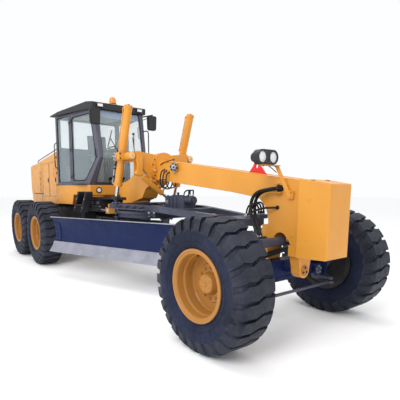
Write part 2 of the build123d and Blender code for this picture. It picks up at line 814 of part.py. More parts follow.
def operator_seat():
    cushion = block(-1150, -700, -250, 250, 2030, 2150)
    shape = fillet(cushion.edges().filter_by(Axis.Y), 40)
    back = side_plate([(-1180, 2100), (-1070, 2100), (-1180, 2800), (-1270, 2800)], -230, 230)
    shape += fillet(back.faces().sort_by(Axis.Z)[-1].edges(), 30)
    for y in (-262, 214):
        shape += block(-1130, -840, y, y + 48, 2290, 2330) + block(-1150, -1090, y, y + 48, 2060, 2330)
    shape += pin_z(-930, 0, 1760, 2040, 120)
    return shape + block(-1100, -760, -190, 190, CAB_FLOOR, 1800)


def control_console():
    outline = [(-520, CAB_FLOOR), (-400, 1900), (-410, 2330), (-470, 2330), (-640, CAB_FLOOR)]
    column = side_plate(outline, -110, 110)
    hub = Vector(-470, 0, 2370)
    wheel = Plane(origin=hub, z_dir=(-0.45, 0, 0.89)) * (
        Torus(175, 14) + Cylinder(35, 30) + Box(350, 30, 16) + Box(30, 350, 16)
    )
    return column + bar((-430, 0, 2310), (-470, 0, 2370), 25) + wheel


def ladders():
    """A leaning ladder with one tread between two side plates, on each side."""
    top_z, foot_z, lean = 1540.0, 1160.0, 0.70
    y = LADDER_Y

    def stile(x):
        foot = x - lean * (top_z - foot_z)
        plate = side_plate([(x, top_z), (x + 70, top_z), (foot + 70, foot_z), (foot, foot_z)], y, y + 130)
        return plate + pin_y(x + 35, y, y + 130, top_z - 10, 34)

    shape = stile(-560) + stile(-190)
    z = 1300.0
    x = -560 - lean * (top_z - z)
    shape += block(x + 20, x + 430, y, y + 130, z - 12, z + 12)
    shape += block(-700, -300, RAIL_OUT + RUN_GAP, y + 1, foot_z + 220, foot_z + 250)
    return mirrored(shape)


def mirrors():
    """Rounded mirror heads on arms from the cab's front posts."""
    x, y = 30.0, 540.0
    arm_z = CAB_EAVES - FASCIA_DROP - 35
    head = block(x, x + 40, y, y + 140, 2830, 3030)
    head = fillet(head.edges().filter_by(Axis.X), 30)
    arm = bar((-215, cab_half_at(-215) + 11.5, arm_z), (x + 38, y + 75, arm_z), 12)
    arm += pin_z(x + 20, y + 70, 3025, arm_z, 9)
    return mirrored(head + arm)


def roof_lights():
    """Two lamps on the fascia and a beacon on its seat."""
    shape = Part()
    for y in (-420, 420):
        shape += block(ROOF_FRONT + RUN_GAP, ROOF_FRONT + 30, y - 60, y + 60, CAB_EAVES - 30, CAB_EAVES + 35)
    shape += pin_z(BEACON_X, 0, BEACON_SEAT + RUN_GAP, BEACON_SEAT + 90, 65)
    return shape + Pos(BEACON_X, 0, BEACON_SEAT + 90) * Sphere(62)


# Front frame


def front_frame():
    """Box beam from the frame joint over the saddle to the head above the front axle."""
    axle, front = FRONT_AXLE_X, BLOCK_BACK_X - RUN_GAP
    throat = (axle - 227, 1507), (axle - 110, 1390), (axle - 66, 1200)
    outline = ThreePointArc(*throat)
    outline += Polyline(
        throat[-1],
        (axle - 66, 1044),
        (LEAN_BAR_X - 95, 1044),
        (LEAN_BAR_X + 97, 1065),
        (front - 70, BLOCK_BOTTOM - 20),
        (front, BLOCK_BOTTOM - 20),
        (front, BLOCK_TOP_BACK - 22),
        (axle + 210, BLOCK_TOP_BACK + 5),
        (2030, BEAM_TOP),
        (1330, 2075),
        (927, 2022),
        (450, 1771),
        (110, 1703),
        (HINGE_X - YOKE_RADIUS, 1640),
        (HINGE_X - YOKE_RADIUS, TONGUE[0]),
        (HINGE_X + 190, TONGUE[0]),
        (HINGE_X + 225, 1345),
        (910, 1456),
        (1030, 1613),
        (1390, 1759),
        (1830, 1710),
        (3100, 1570),
        throat[0],
    )
    shape = side_body(outline, -BEAM_HALF, BEAM_HALF)
    shape -= pin_y(LEAN_BAR_X, -200, 200, 1040, 92)
    shape -= block(HINGE_X - 200, SLOT_FRONT, -300, 300, TONGUE[1], SLOT_TOP)
    shape -= pin_z(HINGE_X, 0, TONGUE[0] - 10, TONGUE[1] + 10, HINGE_PIN_RADIUS + RUN_GAP)
    tongue = block(HINGE_X - 200, HINGE_X, -300, 300, TONGUE[0] - 20, TONGUE[1] + 1)
    shape -= tongue - pin_z(HINGE_X, 0, TONGUE[0] - 30, TONGUE[1] + 10, YOKE_RADIUS)
    shape += saddle() + axle_lugs()
    for side in (1, -1):
        shape += articulation_bracket(side)
    return shape


def articulation_bracket(side):
    """Two lugs on an arm, the rod's eye lies between them."""
    near, wall, front = BRACKET_NEAR, BRACKET_WALL, BRACKET_FRONT
    turn_y, end_y = BEAM_HALF + 105, ARTIC_EYE_Y + 45
    low, high = ARTIC_Z - LUG_OUT, ARTIC_Z + 120
    shape = block(SLOT_FRONT + 40, near, BEAM_HALF - 5, turn_y + 45, ARTIC_Z + 34, high)
    shape += block(near - 10, front, turn_y, turn_y + 45, low, high)
    shape += block(wall, front, turn_y, end_y, low, high)
    for z0, z1 in ((low, ARTIC_Z - LUG_IN), (ARTIC_Z + LUG_IN, ARTIC_Z + LUG_OUT)):
        plate = block(ARTIC_EYE_X, front, ARTIC_EYE_Y - 70, end_y, z0, z1)
        shape += plate + pin_z(ARTIC_EYE_X, ARTIC_EYE_Y, z0, z1, 45)
    return shape if side > 0 else other_side(shape)


def lift_point(along, side):
    """Point on a lift cylinder's axis, so far up from the rod's eye."""
    length = hypot(LIFT_TOP[0] - LIFT_EYE[0], LIFT_TOP[1] - LIFT_EYE[1])
    share = along / length
    x = LIFT_EYE[0] + share * (LIFT_TOP[0] - LIFT_EYE[0])
    z = LIFT_EYE[1] + share * (LIFT_TOP[1] - LIFT_EYE[1])
    return (x, side * LIFT_Y, z)


def saddle():
    """Disc on the beam with an arm to a trunnion yoke on each side."""
    face = SADDLE_X + 50
    shape = pin_x(SADDLE_X - 50, face, 0, SADDLE_Z, SADDLE_RADIUS)
    shape += pin_x(face - 1, face + 12, 0, SADDLE_Z, SADDLE_RADIUS - 40)
    shape += pin_x(face - 1, face + 30, 0, SADDLE_Z, 62)
    for side in (1, -1):
        shape += saddle_arm() if side > 0 else other_side(saddle_arm())
        x, y, z = lift_point(TRUNNION_UP, side)
        shape -= pin_y(x, y - 200, y + 200, z, TRUNNION_RADIUS + RUN_GAP)
    return shape + shift_lug()


def saddle_arm():
    """Left arm with the yoke round its lift cylinder and the strap that closes the yoke."""
    x, y, z = lift_point(TRUNNION_UP, 1)
    root = y - YOKE_INSIDE - 20
    reach = YOKE_INSIDE + YOKE_WALL
    outline = [(100, 1800), (100, 2150), (root, z + 75), (root, z - 75), (260, 1800)]
    arm = cross_plate(outline, SADDLE_X - 50, SADDLE_X + 20)
    arm += block(x - 60, SADDLE_X + 20, root - 60, root, z - 75, z + 75)
    yoke = block(x - 60, x + 60, y - reach, y + reach, z - 55, z + 55)
    yoke += pin_y(x, y - reach - 12, y + reach + 12, z, 58)
    yoke -= block(x - 200, x + 200, y - YOKE_INSIDE, y + YOKE_INSIDE, z - 90, z + 90)
    strap = block(x + 95, x + 140, y - reach, y + reach, z - 55, z + 55)
    for y_end in (y - reach, y + YOKE_INSIDE):
        strap += block(x + 50, x + 141, y_end, y_end + YOKE_WALL, z - 55, z + 55)
    return arm + yoke + strap


def shift_lug():
    """Ears under the right arm for the centre-shift cylinder."""
    y, z = SHIFT_TOP
    shape = pin_x(SHIFT_X - 62, SHIFT_X + 62, y, z, CYLINDER_PIN)
    for x0, x1 in ((SHIFT_X - 62, SHIFT_X - 42), (SHIFT_X + 42, SHIFT_X + 62)):
        shape += cross_plate([(y - 45, z), (y + 45, z), (y + 60, 2140), (y - 40, 2140)], x0, x1)
        shape += pin_x(x0, x1, y, z, 45)
    return shape


def axle_lugs():
    """Two lugs that carry the front axle on its centre pin, and the drawbar's ball socket."""
    axle = FRONT_AXLE_X
    shape = Part()
    for x0, x1 in ((axle + 220, axle + 330), (axle - 150, axle - 80)):
        shape += cross_plate([(-150, 1000), (150, 1000), (72, 680), (-72, 680)], x0, x1)
        shape += pin_x(x0, x1, 0, CENTRE_PIN_Z, 84)
    shape += block(axle - 150, axle - 60, -150, 150, 980, 1200)
    socket = Sphere(BALL_RADIUS + 28) - Sphere(BALL_RADIUS + RUN_GAP)
    shape += Pos(BALL_X, 0, BALL_Z) * socket & block(BALL_X - 12, axle, -150, 150, 900, 1300)
    return shape + block(axle + 220, BLOCK_BACK_X - 10, -150, 150, BLOCK_BOTTOM - 19, 1000)


def front_block():
    """Ballast block across the nose, narrower to the front, with rounded edges."""
    back, face = BLOCK_BACK_HALF, BLOCK_FRONT_HALF
    plan = plan_plate(
        [(BLOCK_BACK_X, back), (BLOCK_BACK_X, -back), (FRONT_FACE_X, -face), (FRONT_FACE_X, face)],
        BLOCK_BOTTOM,
        BLOCK_TOP_BACK,
    )
    profile = side_plate(
        [
            (BLOCK_BACK_X, BLOCK_BOTTOM),
            (FRONT_FACE_X, BLOCK_BOTTOM),
            (FRONT_FACE_X, BLOCK_TOP_FRONT),
            (BLOCK_BACK_X, BLOCK_TOP_BACK),
        ],
        -300,
        300,
    )
    shape = plan & profile
    return fillet(shape.faces().sort_by(Axis.X)[-1].edges(), BLOCK_ROUND)


def front_axle():
    """Beam with its centre boss and pin, and an eye at each end for leaning."""
    x0, x1 = FRONT_AXLE_X - AXLE_HALF_WIDTH, FRONT_AXLE_X + AXLE_HALF_WIDTH
    end = LEAN_Y - 40
    beam = cross_plate(
        [
            (-end, 570),
            (-400, 560),
            (400, 560),
            (end, 570),
            (end, 670),
            (300, 800),
            (-300, 800),
            (-end, 670),
        ],
        x0,
        x1,
    )
    for side in (1, -1):
        beam += pin_x(x0, x1, side * LEAN_Y, LEAN_Z, 65)
        beam -= pin_x(x0 - 125, x1 + 125, side * LEAN_Y, LEAN_Z, LEAN_PIN_RADIUS + RUN_GAP)
    beam += pin_x(x1, FRONT_AXLE_X + 220 - RUN_GAP, 0, CENTRE_PIN_Z, CENTRE_PIN_RADIUS)
    y, z = LEAN_CYLINDER_FOOT
    for x in (LEAN_CYLINDER_X - 40, LEAN_CYLINDER_X + 40):
        foot = [(y - 80, CENTRE_PIN_Z), (y + 80, CENTRE_PIN_Z), (y + 35, z), (y - 35, z)]
        beam += cross_plate(foot, x - 7, x + 7) + pin_x(x - 7, x + 7, y, z, 35)
    return beam + pin_x(LEAN_CYLINDER_X - 47, LEAN_CYLINDER_X + 47, y, z, LEAN_FOOT_PIN)


def lean_bracket(side):
    """Carries a kingpin and swings about the axle's end."""
    x0, x1 = FRONT_AXLE_X - AXLE_HALF_WIDTH, FRONT_AXLE_X + AXLE_HALF_WIDTH
    wall, wall_in = KINGPIN_Y - 55, KINGPIN_Y - 84
    shape = pin_x(x0 - 45, x1 + 45, LEAN_Y, LEAN_Z, LEAN_PIN_RADIUS)
    for a, b in ((x0 - 45, x0 - 10), (x1 + 10, x1 + 45)):
        shape += pin_x(a, b, LEAN_Y, LEAN_Z, 72)
        shape += block(a, b, LEAN_Y, wall, LEAN_Z - 72, LEAN_Z + 72)
    shape += block(x0 - 45, LEAN_BAR_X + 60, wall_in, wall, 545, 812)
    shape += block(FRONT_AXLE_X - 50, FRONT_AXLE_X + 50, wall - 5, KINGPIN_Y, 545, 812)
    shape += pin_z(FRONT_AXLE_X, KINGPIN_Y, 545, 812, KINGPIN_BOSS)
    shape += pin_z(FRONT_AXLE_X, KINGPIN_Y, 470, 870, KINGPIN_RADIUS)
    for a, b in ((LEAN_BAR_X - 60, LEAN_BAR_X - 30), (LEAN_BAR_X + 30, LEAN_BAR_X + 60)):
        tower = [(wall_in, 700), (wall, 700), (LEAN_BAR_Y + 45, LEAN_BAR_Z), (LEAN_BAR_Y - 45, LEAN_BAR_Z)]
        shape += cross_plate(tower, a, b) + pin_x(a, b, LEAN_BAR_Y, LEAN_BAR_Z, 45)
    shape += pin_x(LEAN_BAR_X - 60, LEAN_BAR_X + 60, LEAN_BAR_Y, LEAN_BAR_Z, LEAN_BAR_PIN)
    if side > 0:
        y, z = LEAN_CYLINDER_EYE
        ear = [(KINGPIN_Y - 70, 800), (KINGPIN_Y - 70, 860), (y + 20, z + 45), (y - 40, z + 45)]
        ear += [(y - 40, z - 45), (wall_in, 780)]
        for x in (LEAN_CYLINDER_X - 32, LEAN_CYLINDER_X + 32):
            shape += cross_plate(ear, x - 8, x + 8)
    return shape if side > 0 else other_side(shape)


def lean_bar():
    """Link between the two lean brackets, thin at its ends where the brackets hold it."""
    x, y, z = LEAN_BAR_X, LEAN_BAR_Y, LEAN_BAR_Z
    shape = pin_y(x, 110 - y, y - 110, z, LEAN_BAR_RADIUS) + pin_y(x, -y, y, z, LEAN_BAR_NECK)
    for side in (1, -1):
        shape += pin_x(x - 24, x + 24, side * y, z, 40)
    for side in (1, -1):
        shape -= pin_x(x - 60, x + 60, side * y, z, LEAN_BAR_PIN + RUN_GAP)
    return shape


def lean_cylinder_axis(along):
    (y0, z0), (y1, z1) = LEAN_CYLINDER_FOOT, LEAN_CYLINDER_EYE
    length = hypot(y1 - y0, z1 - z0)
    share = along / length
    return (LEAN_CYLINDER_X, y0 + share * (y1 - y0), z0 + share * (z1 - z0))


def lean_cylinder_barrel():
    radius, bore = LEAN_CYLINDER_RADIUS, LEAN_CYLINDER_BORE
    shape = tube(lean_cylinder_axis(25), lean_cylinder_axis(560), radius, bore)
    shape += bar(lean_cylinder_axis(10), lean_cylinder_axis(45), radius)
    shape += tube(lean_cylinder_axis(540), lean_cylinder_axis(560), radius, LEAN_ROD_RADIUS + RUN_GAP)
    y, z = LEAN_CYLINDER_FOOT
    shape += pin_x(LEAN_CYLINDER_X - 30, LEAN_CYLINDER_X + 30, y, z, 30)
    return shape - pin_x(LEAN_CYLINDER_X - 60, LEAN_CYLINDER_X + 60, y, z, LEAN_FOOT_PIN + RUN_GAP)


def lean_cylinder_rod():
    (y0, z0), (y1, z1) = LEAN_CYLINDER_FOOT, LEAN_CYLINDER_EYE
    length = hypot(y1 - y0, z1 - z0)
    shape = bar(lean_cylinder_axis(390), lean_cylinder_axis(length), LEAN_ROD_RADIUS)
    shape += bar(lean_cylinder_axis(390), lean_cylinder_axis(420), LEAN_CYLINDER_BORE - RUN_GAP)
    return shape + pin_x(LEAN_CYLINDER_X - 18, LEAN_CYLINDER_X + 18, y1, z1, 30)


def knuckle(side):
    """Fork round the kingpin boss, with the wheel's spindle and the steering arm."""
    x, y = FRONT_AXLE_X, KINGPIN_Y
    shape = Part()
    for z0, z1 in ((470, 530), (822, 870)):
        shape += pin_z(x, y, z0, z1, 65)
        shape += block(x - 60, x + 60, y, y + 90, z0, z1)
    shape += block(x - 60, x + 60, y + 66, y + 90, 470, 870)
    shape += pin_y(x, y + 70, TRACK_HALF + SPINDLE_REACH, AXLE_Z, SPINDLE_RADIUS)
    shape += pin_y(x, y + 70, TRACK_HALF + HUB_INNER - 5, AXLE_Z, 95)
    shape += block(x, x + STEER_ARM, y - 28, y + 28, 485, 515)
    shape += pin_z(x + STEER_ARM, y, 485, 515, 34)
    shape -= pin_z(x, y, 400, 900, KINGPIN_RADIUS + RUN_GAP)
    return shape if side > 0 else other_side(shape)


def tie_rod_end():
    """Ball joint under the left steering arm."""
    x, y = FRONT_AXLE_X + STEER_ARM, KINGPIN_Y
    return pin_z(x, y, TIE_Z - 8, 485 - RUN_GAP, TIE_RADIUS) + Pos(x, y, TIE_Z) * Sphere(TIE_BALL)


def tie_rod():
    x, y = FRONT_AXLE_X + STEER_ARM, KINGPIN_Y
    shape = pin_y(x, 30 - y, y - 30, TIE_Z, TIE_RADIUS)
    for side in (1, -1):
        shape += pin_z(x, side * y, TIE_Z - 20, TIE_Z + 14, 42)
    return shape - (Pos(x, y, TIE_Z) * Sphere(TIE_BALL + RUN_GAP) + pin_z(x, y, TIE_Z, TIE_Z + 60, TIE_BALL))


# Drawbar, circle and blade


def drawbar_top(x):
    """Height of the drawbar's top along its length."""
    for (x0, z0), (x1, z1) in zip(DRAWBAR_TOP, DRAWBAR_TOP[1:]):
        if x <= x1:
            return z0 + (x - x0) / (x1 - x0) * (z1 - z0)
    return DRAWBAR_TOP[-1][1]


def drawbar_half(x):
    """Half width of the drawbar between its rear and its shoulder."""
    share = (x - DRAWBAR_REAR) / (BALL_X - 290 - DRAWBAR_REAR)
    return DRAWBAR_HALF + share * (250 - DRAWBAR_HALF)


def under_top(x0, x1, over, under):
    """Band along the drawbar's top, from so far over it to so far under it."""
    xs = [x0] + [x for x, z in DRAWBAR_TOP if x0 < x < x1] + [x1]
    upper = [(x, drawbar_top(x) + over) for x in xs]
    lower = [(x, drawbar_top(x) - under) for x in reversed(xs)]
    return side_plate(upper + lower, -700, 700)


def drawbar():
    """A-shaped frame of two rails with a sunk plate over the circle, down to the ball at its nose."""
    shoulder, nose = BALL_X - 290, BALL_X - 120
    rear = DRAWBAR_REAR
    plan = [(rear, DRAWBAR_HALF), (rear, -DRAWBAR_HALF), (shoulder, -250)]
    plan += [(nose, -90), (nose, 90), (shoulder, 250)]
    shape = under_top(600, BALL_X + 60, 0, DRAWBAR_DEEP) & plan_plate(plan, 900, 1500)
    for x0, x1 in ((rear + 110, 1530), (1620, 2160)):
        half0, half1 = drawbar_half(x0) - 120, drawbar_half(x1) - 120
        pocket = plan_plate([(x0, half0), (x0, -half0), (x1, -half1), (x1, half1)], 900, 1500)
        shape -= under_top(600, 2400, 10, DRAWBAR_POCKET) & pocket
    end = shoulder - 200
    shape -= plan_plate([(2250, 300), (2250, -300), (end, -170), (end, 170)], 900, 1500)
    shape += pin_x(nose - 20, BALL_X, 0, BALL_Z, 36)
    shape += block(nose - 50, nose, -38, 38, BALL_Z - 36, 1200)
    shape += Pos(BALL_X, 0, BALL_Z) * Sphere(BALL_RADIUS)
    for side in (1, -1):
        x, z = LIFT_EYE
        shape += pin_z(x, side * LIFT_Y, 1300, z - 60, 62)
        shape += pin_z(x, side * LIFT_Y, 1360, z - 30, 40)
        shape += Pos(x, side * LIFT_Y, z) * Sphere(LIFT_BALL)
    y, z = SHIFT_EYE
    for x0, x1 in ((SHIFT_X - 76, SHIFT_X - 54), (SHIFT_X + 54, SHIFT_X + 76)):
        ear = [(y - 90, 1300), (y + 90, 1300), (y + 35, z), (y - 35, z)]
        shape += cross_plate(ear, x0, x1) + pin_x(x0, x1, y, z, 35)
    return shape + drawbar_flange() + circle_drive() + circle_shoes()


def drawbar_flange():
    """Thin plate that stands out under the rails, with triangular ribs on it."""
    front = 1700
    half0, half1 = DRAWBAR_HALF + 50, drawbar_half(front) + 135
    plan = [(DRAWBAR_REAR, half0), (DRAWBAR_REAR, -half0), (front, -half1), (front, half1)]
    shape = plan_plate(plan, FLANGE_LOW, FLANGE_LOW + FLANGE_THICK)
    for step in range(4):
        x = 960 + step * 190
        share = (x - DRAWBAR_REAR) / (front - DRAWBAR_REAR)
        rail, edge = drawbar_half(x) - 10, half0 + share * (half1 - half0) - 8
        low, high = FLANGE_LOW + FLANGE_THICK - 2, drawbar_top(x) - 6
        shape += mirrored(cross_plate([(rail, low), (edge, low), (rail, high)], x - 7, x + 7))
    return shape


def circle_drive():
    """Gear housing on the drawbar with its motor, and the round guard of its pinion inside the teeth."""
    box = block(1560, 2060, -130, 130, 1275, 1490)
    shape = fillet(box.edges().filter_by(Axis.Z), 40)
    shape += block(1590, 2030, -105, 105, 1480, 1504)
    shape += pin_x(2050, 2230, -60, 1440, 60) + pin_x(2225, 2250, -60, 1440, 42)
    pinion_x = CIRCLE_X + RING_INNER - PINION_RADIUS - PINION_GAP
    return shape + pin_z(pinion_x, 0, RING_BOTTOM + 20, 1300, PINION_RADIUS)


def circle_shoes():
    """Shoes that hang from the drawbar under the ring's flange, each with a wear pad on top of it."""
    shape = Part()
    for angle in (38, 118, 242, 322):
        place = Pos(CIRCLE_X, 0, 0) * Rot(0, 0, angle)
        hanger = block(RING_OUTER + 6, RING_OUTER + 40, -60, 60, RING_FLANGE - 20, 1300)
        lip = block(RING_DRUM + 8, RING_OUTER + 40, -60, 60, RING_FLANGE - 20, RING_FLANGE - RUN_GAP)
        pad = block(TOOTH_ROOT + 4, RING_OUTER - 10, -60, 60, RING_TOP + RUN_GAP, 1300)
        shape += place * (hanger + lip + pad)
    return shape


def blade_place():
    """The blade group is drawn square across and turned about the circle's centre."""
    return Pos(CIRCLE_X, 0, 0) * Rot(0, 0, BLADE_TURN)


def gear_teeth():
    """Bore of the ring's internal gear: each tooth from a root through its two tip corners."""
    points = []
    corners = ((TOOTH_ROOT, -0.22), (TOOTH_ROOT, 0.22), (RING_INNER, 0.34), (RING_INNER, 0.66))
    for step in range(TOOTH_COUNT):
        for radius, share in corners:
            turn = 2 * pi * (step + share) / TOOTH_COUNT
            points.append((radius * cos(turn), radius * sin(turn)))
    return plan_plate(points, RING_BOTTOM - 10, RING_TOP + 10)


def circle():
    """Toothed ring with two arms down to the blade's pitch pins."""
    ring = pin_z(0, 0, RING_BOTTOM, RING_TOP, RING_DRUM) + pin_z(0, 0, RING_FLANGE, RING_TOP, RING_OUTER)
    ring -= gear_teeth()
    outline = [
        (300, RING_BOTTOM + 5),
        (470, RING_BOTTOM + 5),
        (455, 830),
        (PITCH_X + 48, PITCH_Z + 36),
        (PITCH_X - 48, PITCH_Z - 36),
        (320, 1000),
    ]
    for side in (1, -1):
        y0, y1 = sorted((side * ARM_Y, side * (ARM_Y + ARM_THICK)))
        arm = side_plate(outline, y0, y1) + pin_y(PITCH_X, y0, y1, PITCH_Z, 60)
        foot = block(250, 470, y0 - 30, y1 + 30, RING_BOTTOM - 15, RING_BOTTOM + 1)
        ring += arm + foot
    ring += block(330, 400, -ARM_Y - 1, ARM_Y + 1, 1040, 1110)
    for side in (1, -1):
        ring -= pin_y(PITCH_X, side * 400, side * 600, PITCH_Z, PITCH_PIN + RUN_GAP)
    return blade_place() * ring


def blade_arc_centre():
    half = BLADE_HEIGHT / 2
    radius = (half**2 + BLADE_SAG**2) / (2 * BLADE_SAG)
    return BLADE_FACE - BLADE_SAG + radius, BLADE_BOTTOM + half, radius


def blade_x(z, behind):
    """Place of the face, or of a surface so far behind it, at a height."""
    centre_x, centre_z, radius = blade_arc_centre()
    return centre_x - sqrt((radius + behind) ** 2 - (z - centre_z) ** 2)


def moldboard():
    z0, z1 = BLADE_BOTTOM, BLADE_BOTTOM + BLADE_HEIGHT
    middle = (z0 + z1) / 2
    y0, y1 = BLADE_SHIFT - BLADE_LENGTH / 2, BLADE_SHIFT + BLADE_LENGTH / 2
    face = ThreePointArc(*[(blade_x(z, 0), z) for z in (z0, middle, z1)])
    back = ThreePointArc(*[(blade_x(z, BLADE_PLATE), z) for z in (z1, middle, z0)])
    outline = make_face(face + Line(face @ 1, back @ 0) + back + Line(back @ 1, face @ 0))
    shape = extrude(Plane.XZ.offset(-y1) * outline, amount=y1 - y0)
    start, end = BLADE_SHIFT - RAIL_REACH, BLADE_SHIFT + RAIL_REACH
    for z in RAIL_ZS:
        deep = blade_x(z, BLADE_PLATE / 2)
        shape += block(RAIL_X, deep, start, end, z - RAIL_HALF, z + RAIL_HALF)
    return blade_place() * shape


def cutting_edge():
    """Wear strip whose back follows the face's foot, with its lip below the moldboard."""
    y0, y1 = BLADE_SHIFT - BLADE_LENGTH / 2, BLADE_SHIFT + BLADE_LENGTH / 2
    heights = (BLADE_BOTTOM + EDGE_HEIGHT, BLADE_BOTTOM + EDGE_HEIGHT / 2, BLADE_BOTTOM)
    back = [(blade_x(z, 0) + RUN_GAP, z) for z in heights]
    front = [(x + EDGE_THICK, z) for x, z in back]
    tip_x = back[-1][0] + EDGE_LIP
    lip = [(tip_x, BLADE_BOTTOM - EDGE_LIP), (tip_x + EDGE_THICK, BLADE_BOTTOM - EDGE_LIP)]
    return blade_place() * side_plate(back + lip + front[::-1], y0, y1)


def blade_carriage():
    """Tilting frame with slide shoes for the blade's two rails."""
    shape = Part()
    for side in (1, -1):
        y0, y1 = sorted((side * PLATE_Y, side * (PLATE_Y + PLATE_THICK)))
        plate = side_plate([(470, 640), (542, 615), (542, 945), (500, 945), (445, 740)], y0, y1)
        for z in RAIL_ZS:
            shoe = block(540, 596, y0, y1, z - RAIL_HALF - 15, z + RAIL_HALF + 15)
            low, high = z - RAIL_HALF - RUN_GAP, z + RAIL_HALF + RUN_GAP
            shoe -= block(RAIL_X - RUN_GAP, 640, y0 - 5, y1 + 5, low, high)
            plate += shoe
        shape += plate
        pin_end = side * (ARM_Y + ARM_THICK)
        shape += bar((PITCH_X, side * PLATE_Y, PITCH_Z), (PITCH_X, pin_end, PITCH_Z), PITCH_PIN)
    shape += bar((500, -PLATE_Y - 1, 880), (500, PLATE_Y + 1, 880), 35)
    return blade_place() * shape


# Cylinders


def lift_barrel(side):
    """Barrel with its gland, cap and trunnion collar, open at the foot for the rod."""
    top = hypot(LIFT_TOP[0] - LIFT_EYE[0], LIFT_TOP[1] - LIFT_EYE[1])
    foot, radius = LIFT_BARREL_FROM, LIFT_BARREL_RADIUS
    shape = bar(lift_point(foot, side), lift_point(top, side), radius)
    collars = ((foot, foot + 45, 9), (top - 40, top - 12, 5), (TRUNNION_UP - 50, TRUNNION_UP + 50, 11))
    for start, end, out in collars:
        shape += bar(lift_point(start, side), lift_point(end, side), radius + out)
    shape -= bar(lift_point(foot + 40, side), lift_point(top - 35, side), LIFT_BORE)
    shape -= bar(lift_point(foot - 5, side), lift_point(foot + 60, side), LIFT_ROD_RADIUS + RUN_GAP)
    x, y, z = lift_point(TRUNNION_UP, side)
    reach = YOKE_INSIDE + YOKE_WALL - 3
    pins = pin_y(x, y - reach, y + reach, z, TRUNNION_RADIUS)
    return shape + (pins - bar(lift_point(foot, side), lift_point(top - 1, side), radius - 3))


def lift_rod(side):
    top = hypot(LIFT_TOP[0] - LIFT_EYE[0], LIFT_TOP[1] - LIFT_EYE[1])
    shape = bar(lift_point(70, side), lift_point(top - 120, side), LIFT_ROD_RADIUS)
    shape += bar(lift_point(top - 170, side), lift_point(top - 110, side), LIFT_BORE - RUN_GAP)
    cup = Pos(*lift_point(0, side)) * (Sphere(72) - Sphere(56))
    return shape + (cup & block(0, 2000, -2000, 2000, LIFT_EYE[1] + 12, 2000))


def shift_axis(along):
    (y0, z0), (y1, z1) = SHIFT_TOP, SHIFT_EYE
    length = hypot(y1 - y0, z1 - z0)
    return (SHIFT_X, y0 + along / length * (y1 - y0), z0 + along / length * (z1 - z0))


def shift_barrel():
    shape = tube(shift_axis(90), shift_axis(560), SHIFT_BARREL_RADIUS, SHIFT_BORE)
    shape += bar(shift_axis(90), shift_axis(112), SHIFT_BARREL_RADIUS)
    shape += bar(shift_axis(20), shift_axis(100), 32)
    shape += tube(shift_axis(530), shift_axis(560), SHIFT_BARREL_RADIUS, SHIFT_ROD_RADIUS + RUN_GAP)
    y, z = SHIFT_TOP
    shape += pin_x(SHIFT_X - 36, SHIFT_X + 36, y, z, 42)
    return shape - pin_x(SHIFT_X - 60, SHIFT_X + 60, y, z, CYLINDER_PIN + RUN_GAP)


def shift_rod():
    length = hypot(SHIFT_EYE[0] - SHIFT_TOP[0], SHIFT_EYE[1] - SHIFT_TOP[1])
    shape = bar(shift_axis(130), shift_axis(length), SHIFT_ROD_RADIUS)
    shape += bar(shift_axis(120), shift_axis(160), SHIFT_BORE - RUN_GAP)
    y, z = SHIFT_EYE
    return shape + pin_x(SHIFT_X - 18, SHIFT_X + 18, y, z, 34)


def articulation_axis(along):
    dx, dy = ARTIC_EYE_X - ARTIC_BARREL_X, ARTIC_EYE_Y - ARTIC_BARREL_Y
    length = hypot(dx, dy)
    return (ARTIC_BARREL_X + along / length * dx, ARTIC_BARREL_Y + along / length * dy, ARTIC_Z)


def articulation_barrel(side):
    radius = ARTIC_BARREL_RADIUS
    shape = tube(articulation_axis(60), articulation_axis(680), radius, ARTIC_BORE)
    shape += bar(articulation_axis(60), articulation_axis(80), radius)
    shape += bar(articulation_axis(20), articulation_axis(70), 25)
    shape += tube(articulation_axis(655), articulation_axis(680), radius, ARTIC_ROD_RADIUS + RUN_GAP)
    x, y = ARTIC_BARREL_X, ARTIC_BARREL_Y
    shape += pin_z(x, y, ARTIC_Z - 26, ARTIC_Z + 26, 40)
    shape -= pin_z(x, y, ARTIC_Z - 60, ARTIC_Z + 60, CYLINDER_PIN + RUN_GAP)
    return shape if side > 0 else other_side(shape)


def articulation_rod(side):
    length = hypot(ARTIC_EYE_X - ARTIC_BARREL_X, ARTIC_EYE_Y - ARTIC_BARREL_Y)
    shape = bar(articulation_axis(350), articulation_axis(length), ARTIC_ROD_RADIUS)
    shape += bar(articulation_axis(344), articulation_axis(380), ARTIC_BORE - RUN_GAP)
    shape += pin_z(ARTIC_EYE_X, ARTIC_EYE_Y, ARTIC_Z - 25, ARTIC_Z + 25, 36)
    return shape if side > 0 else other_side(shape)


# Small pieces on the front frame


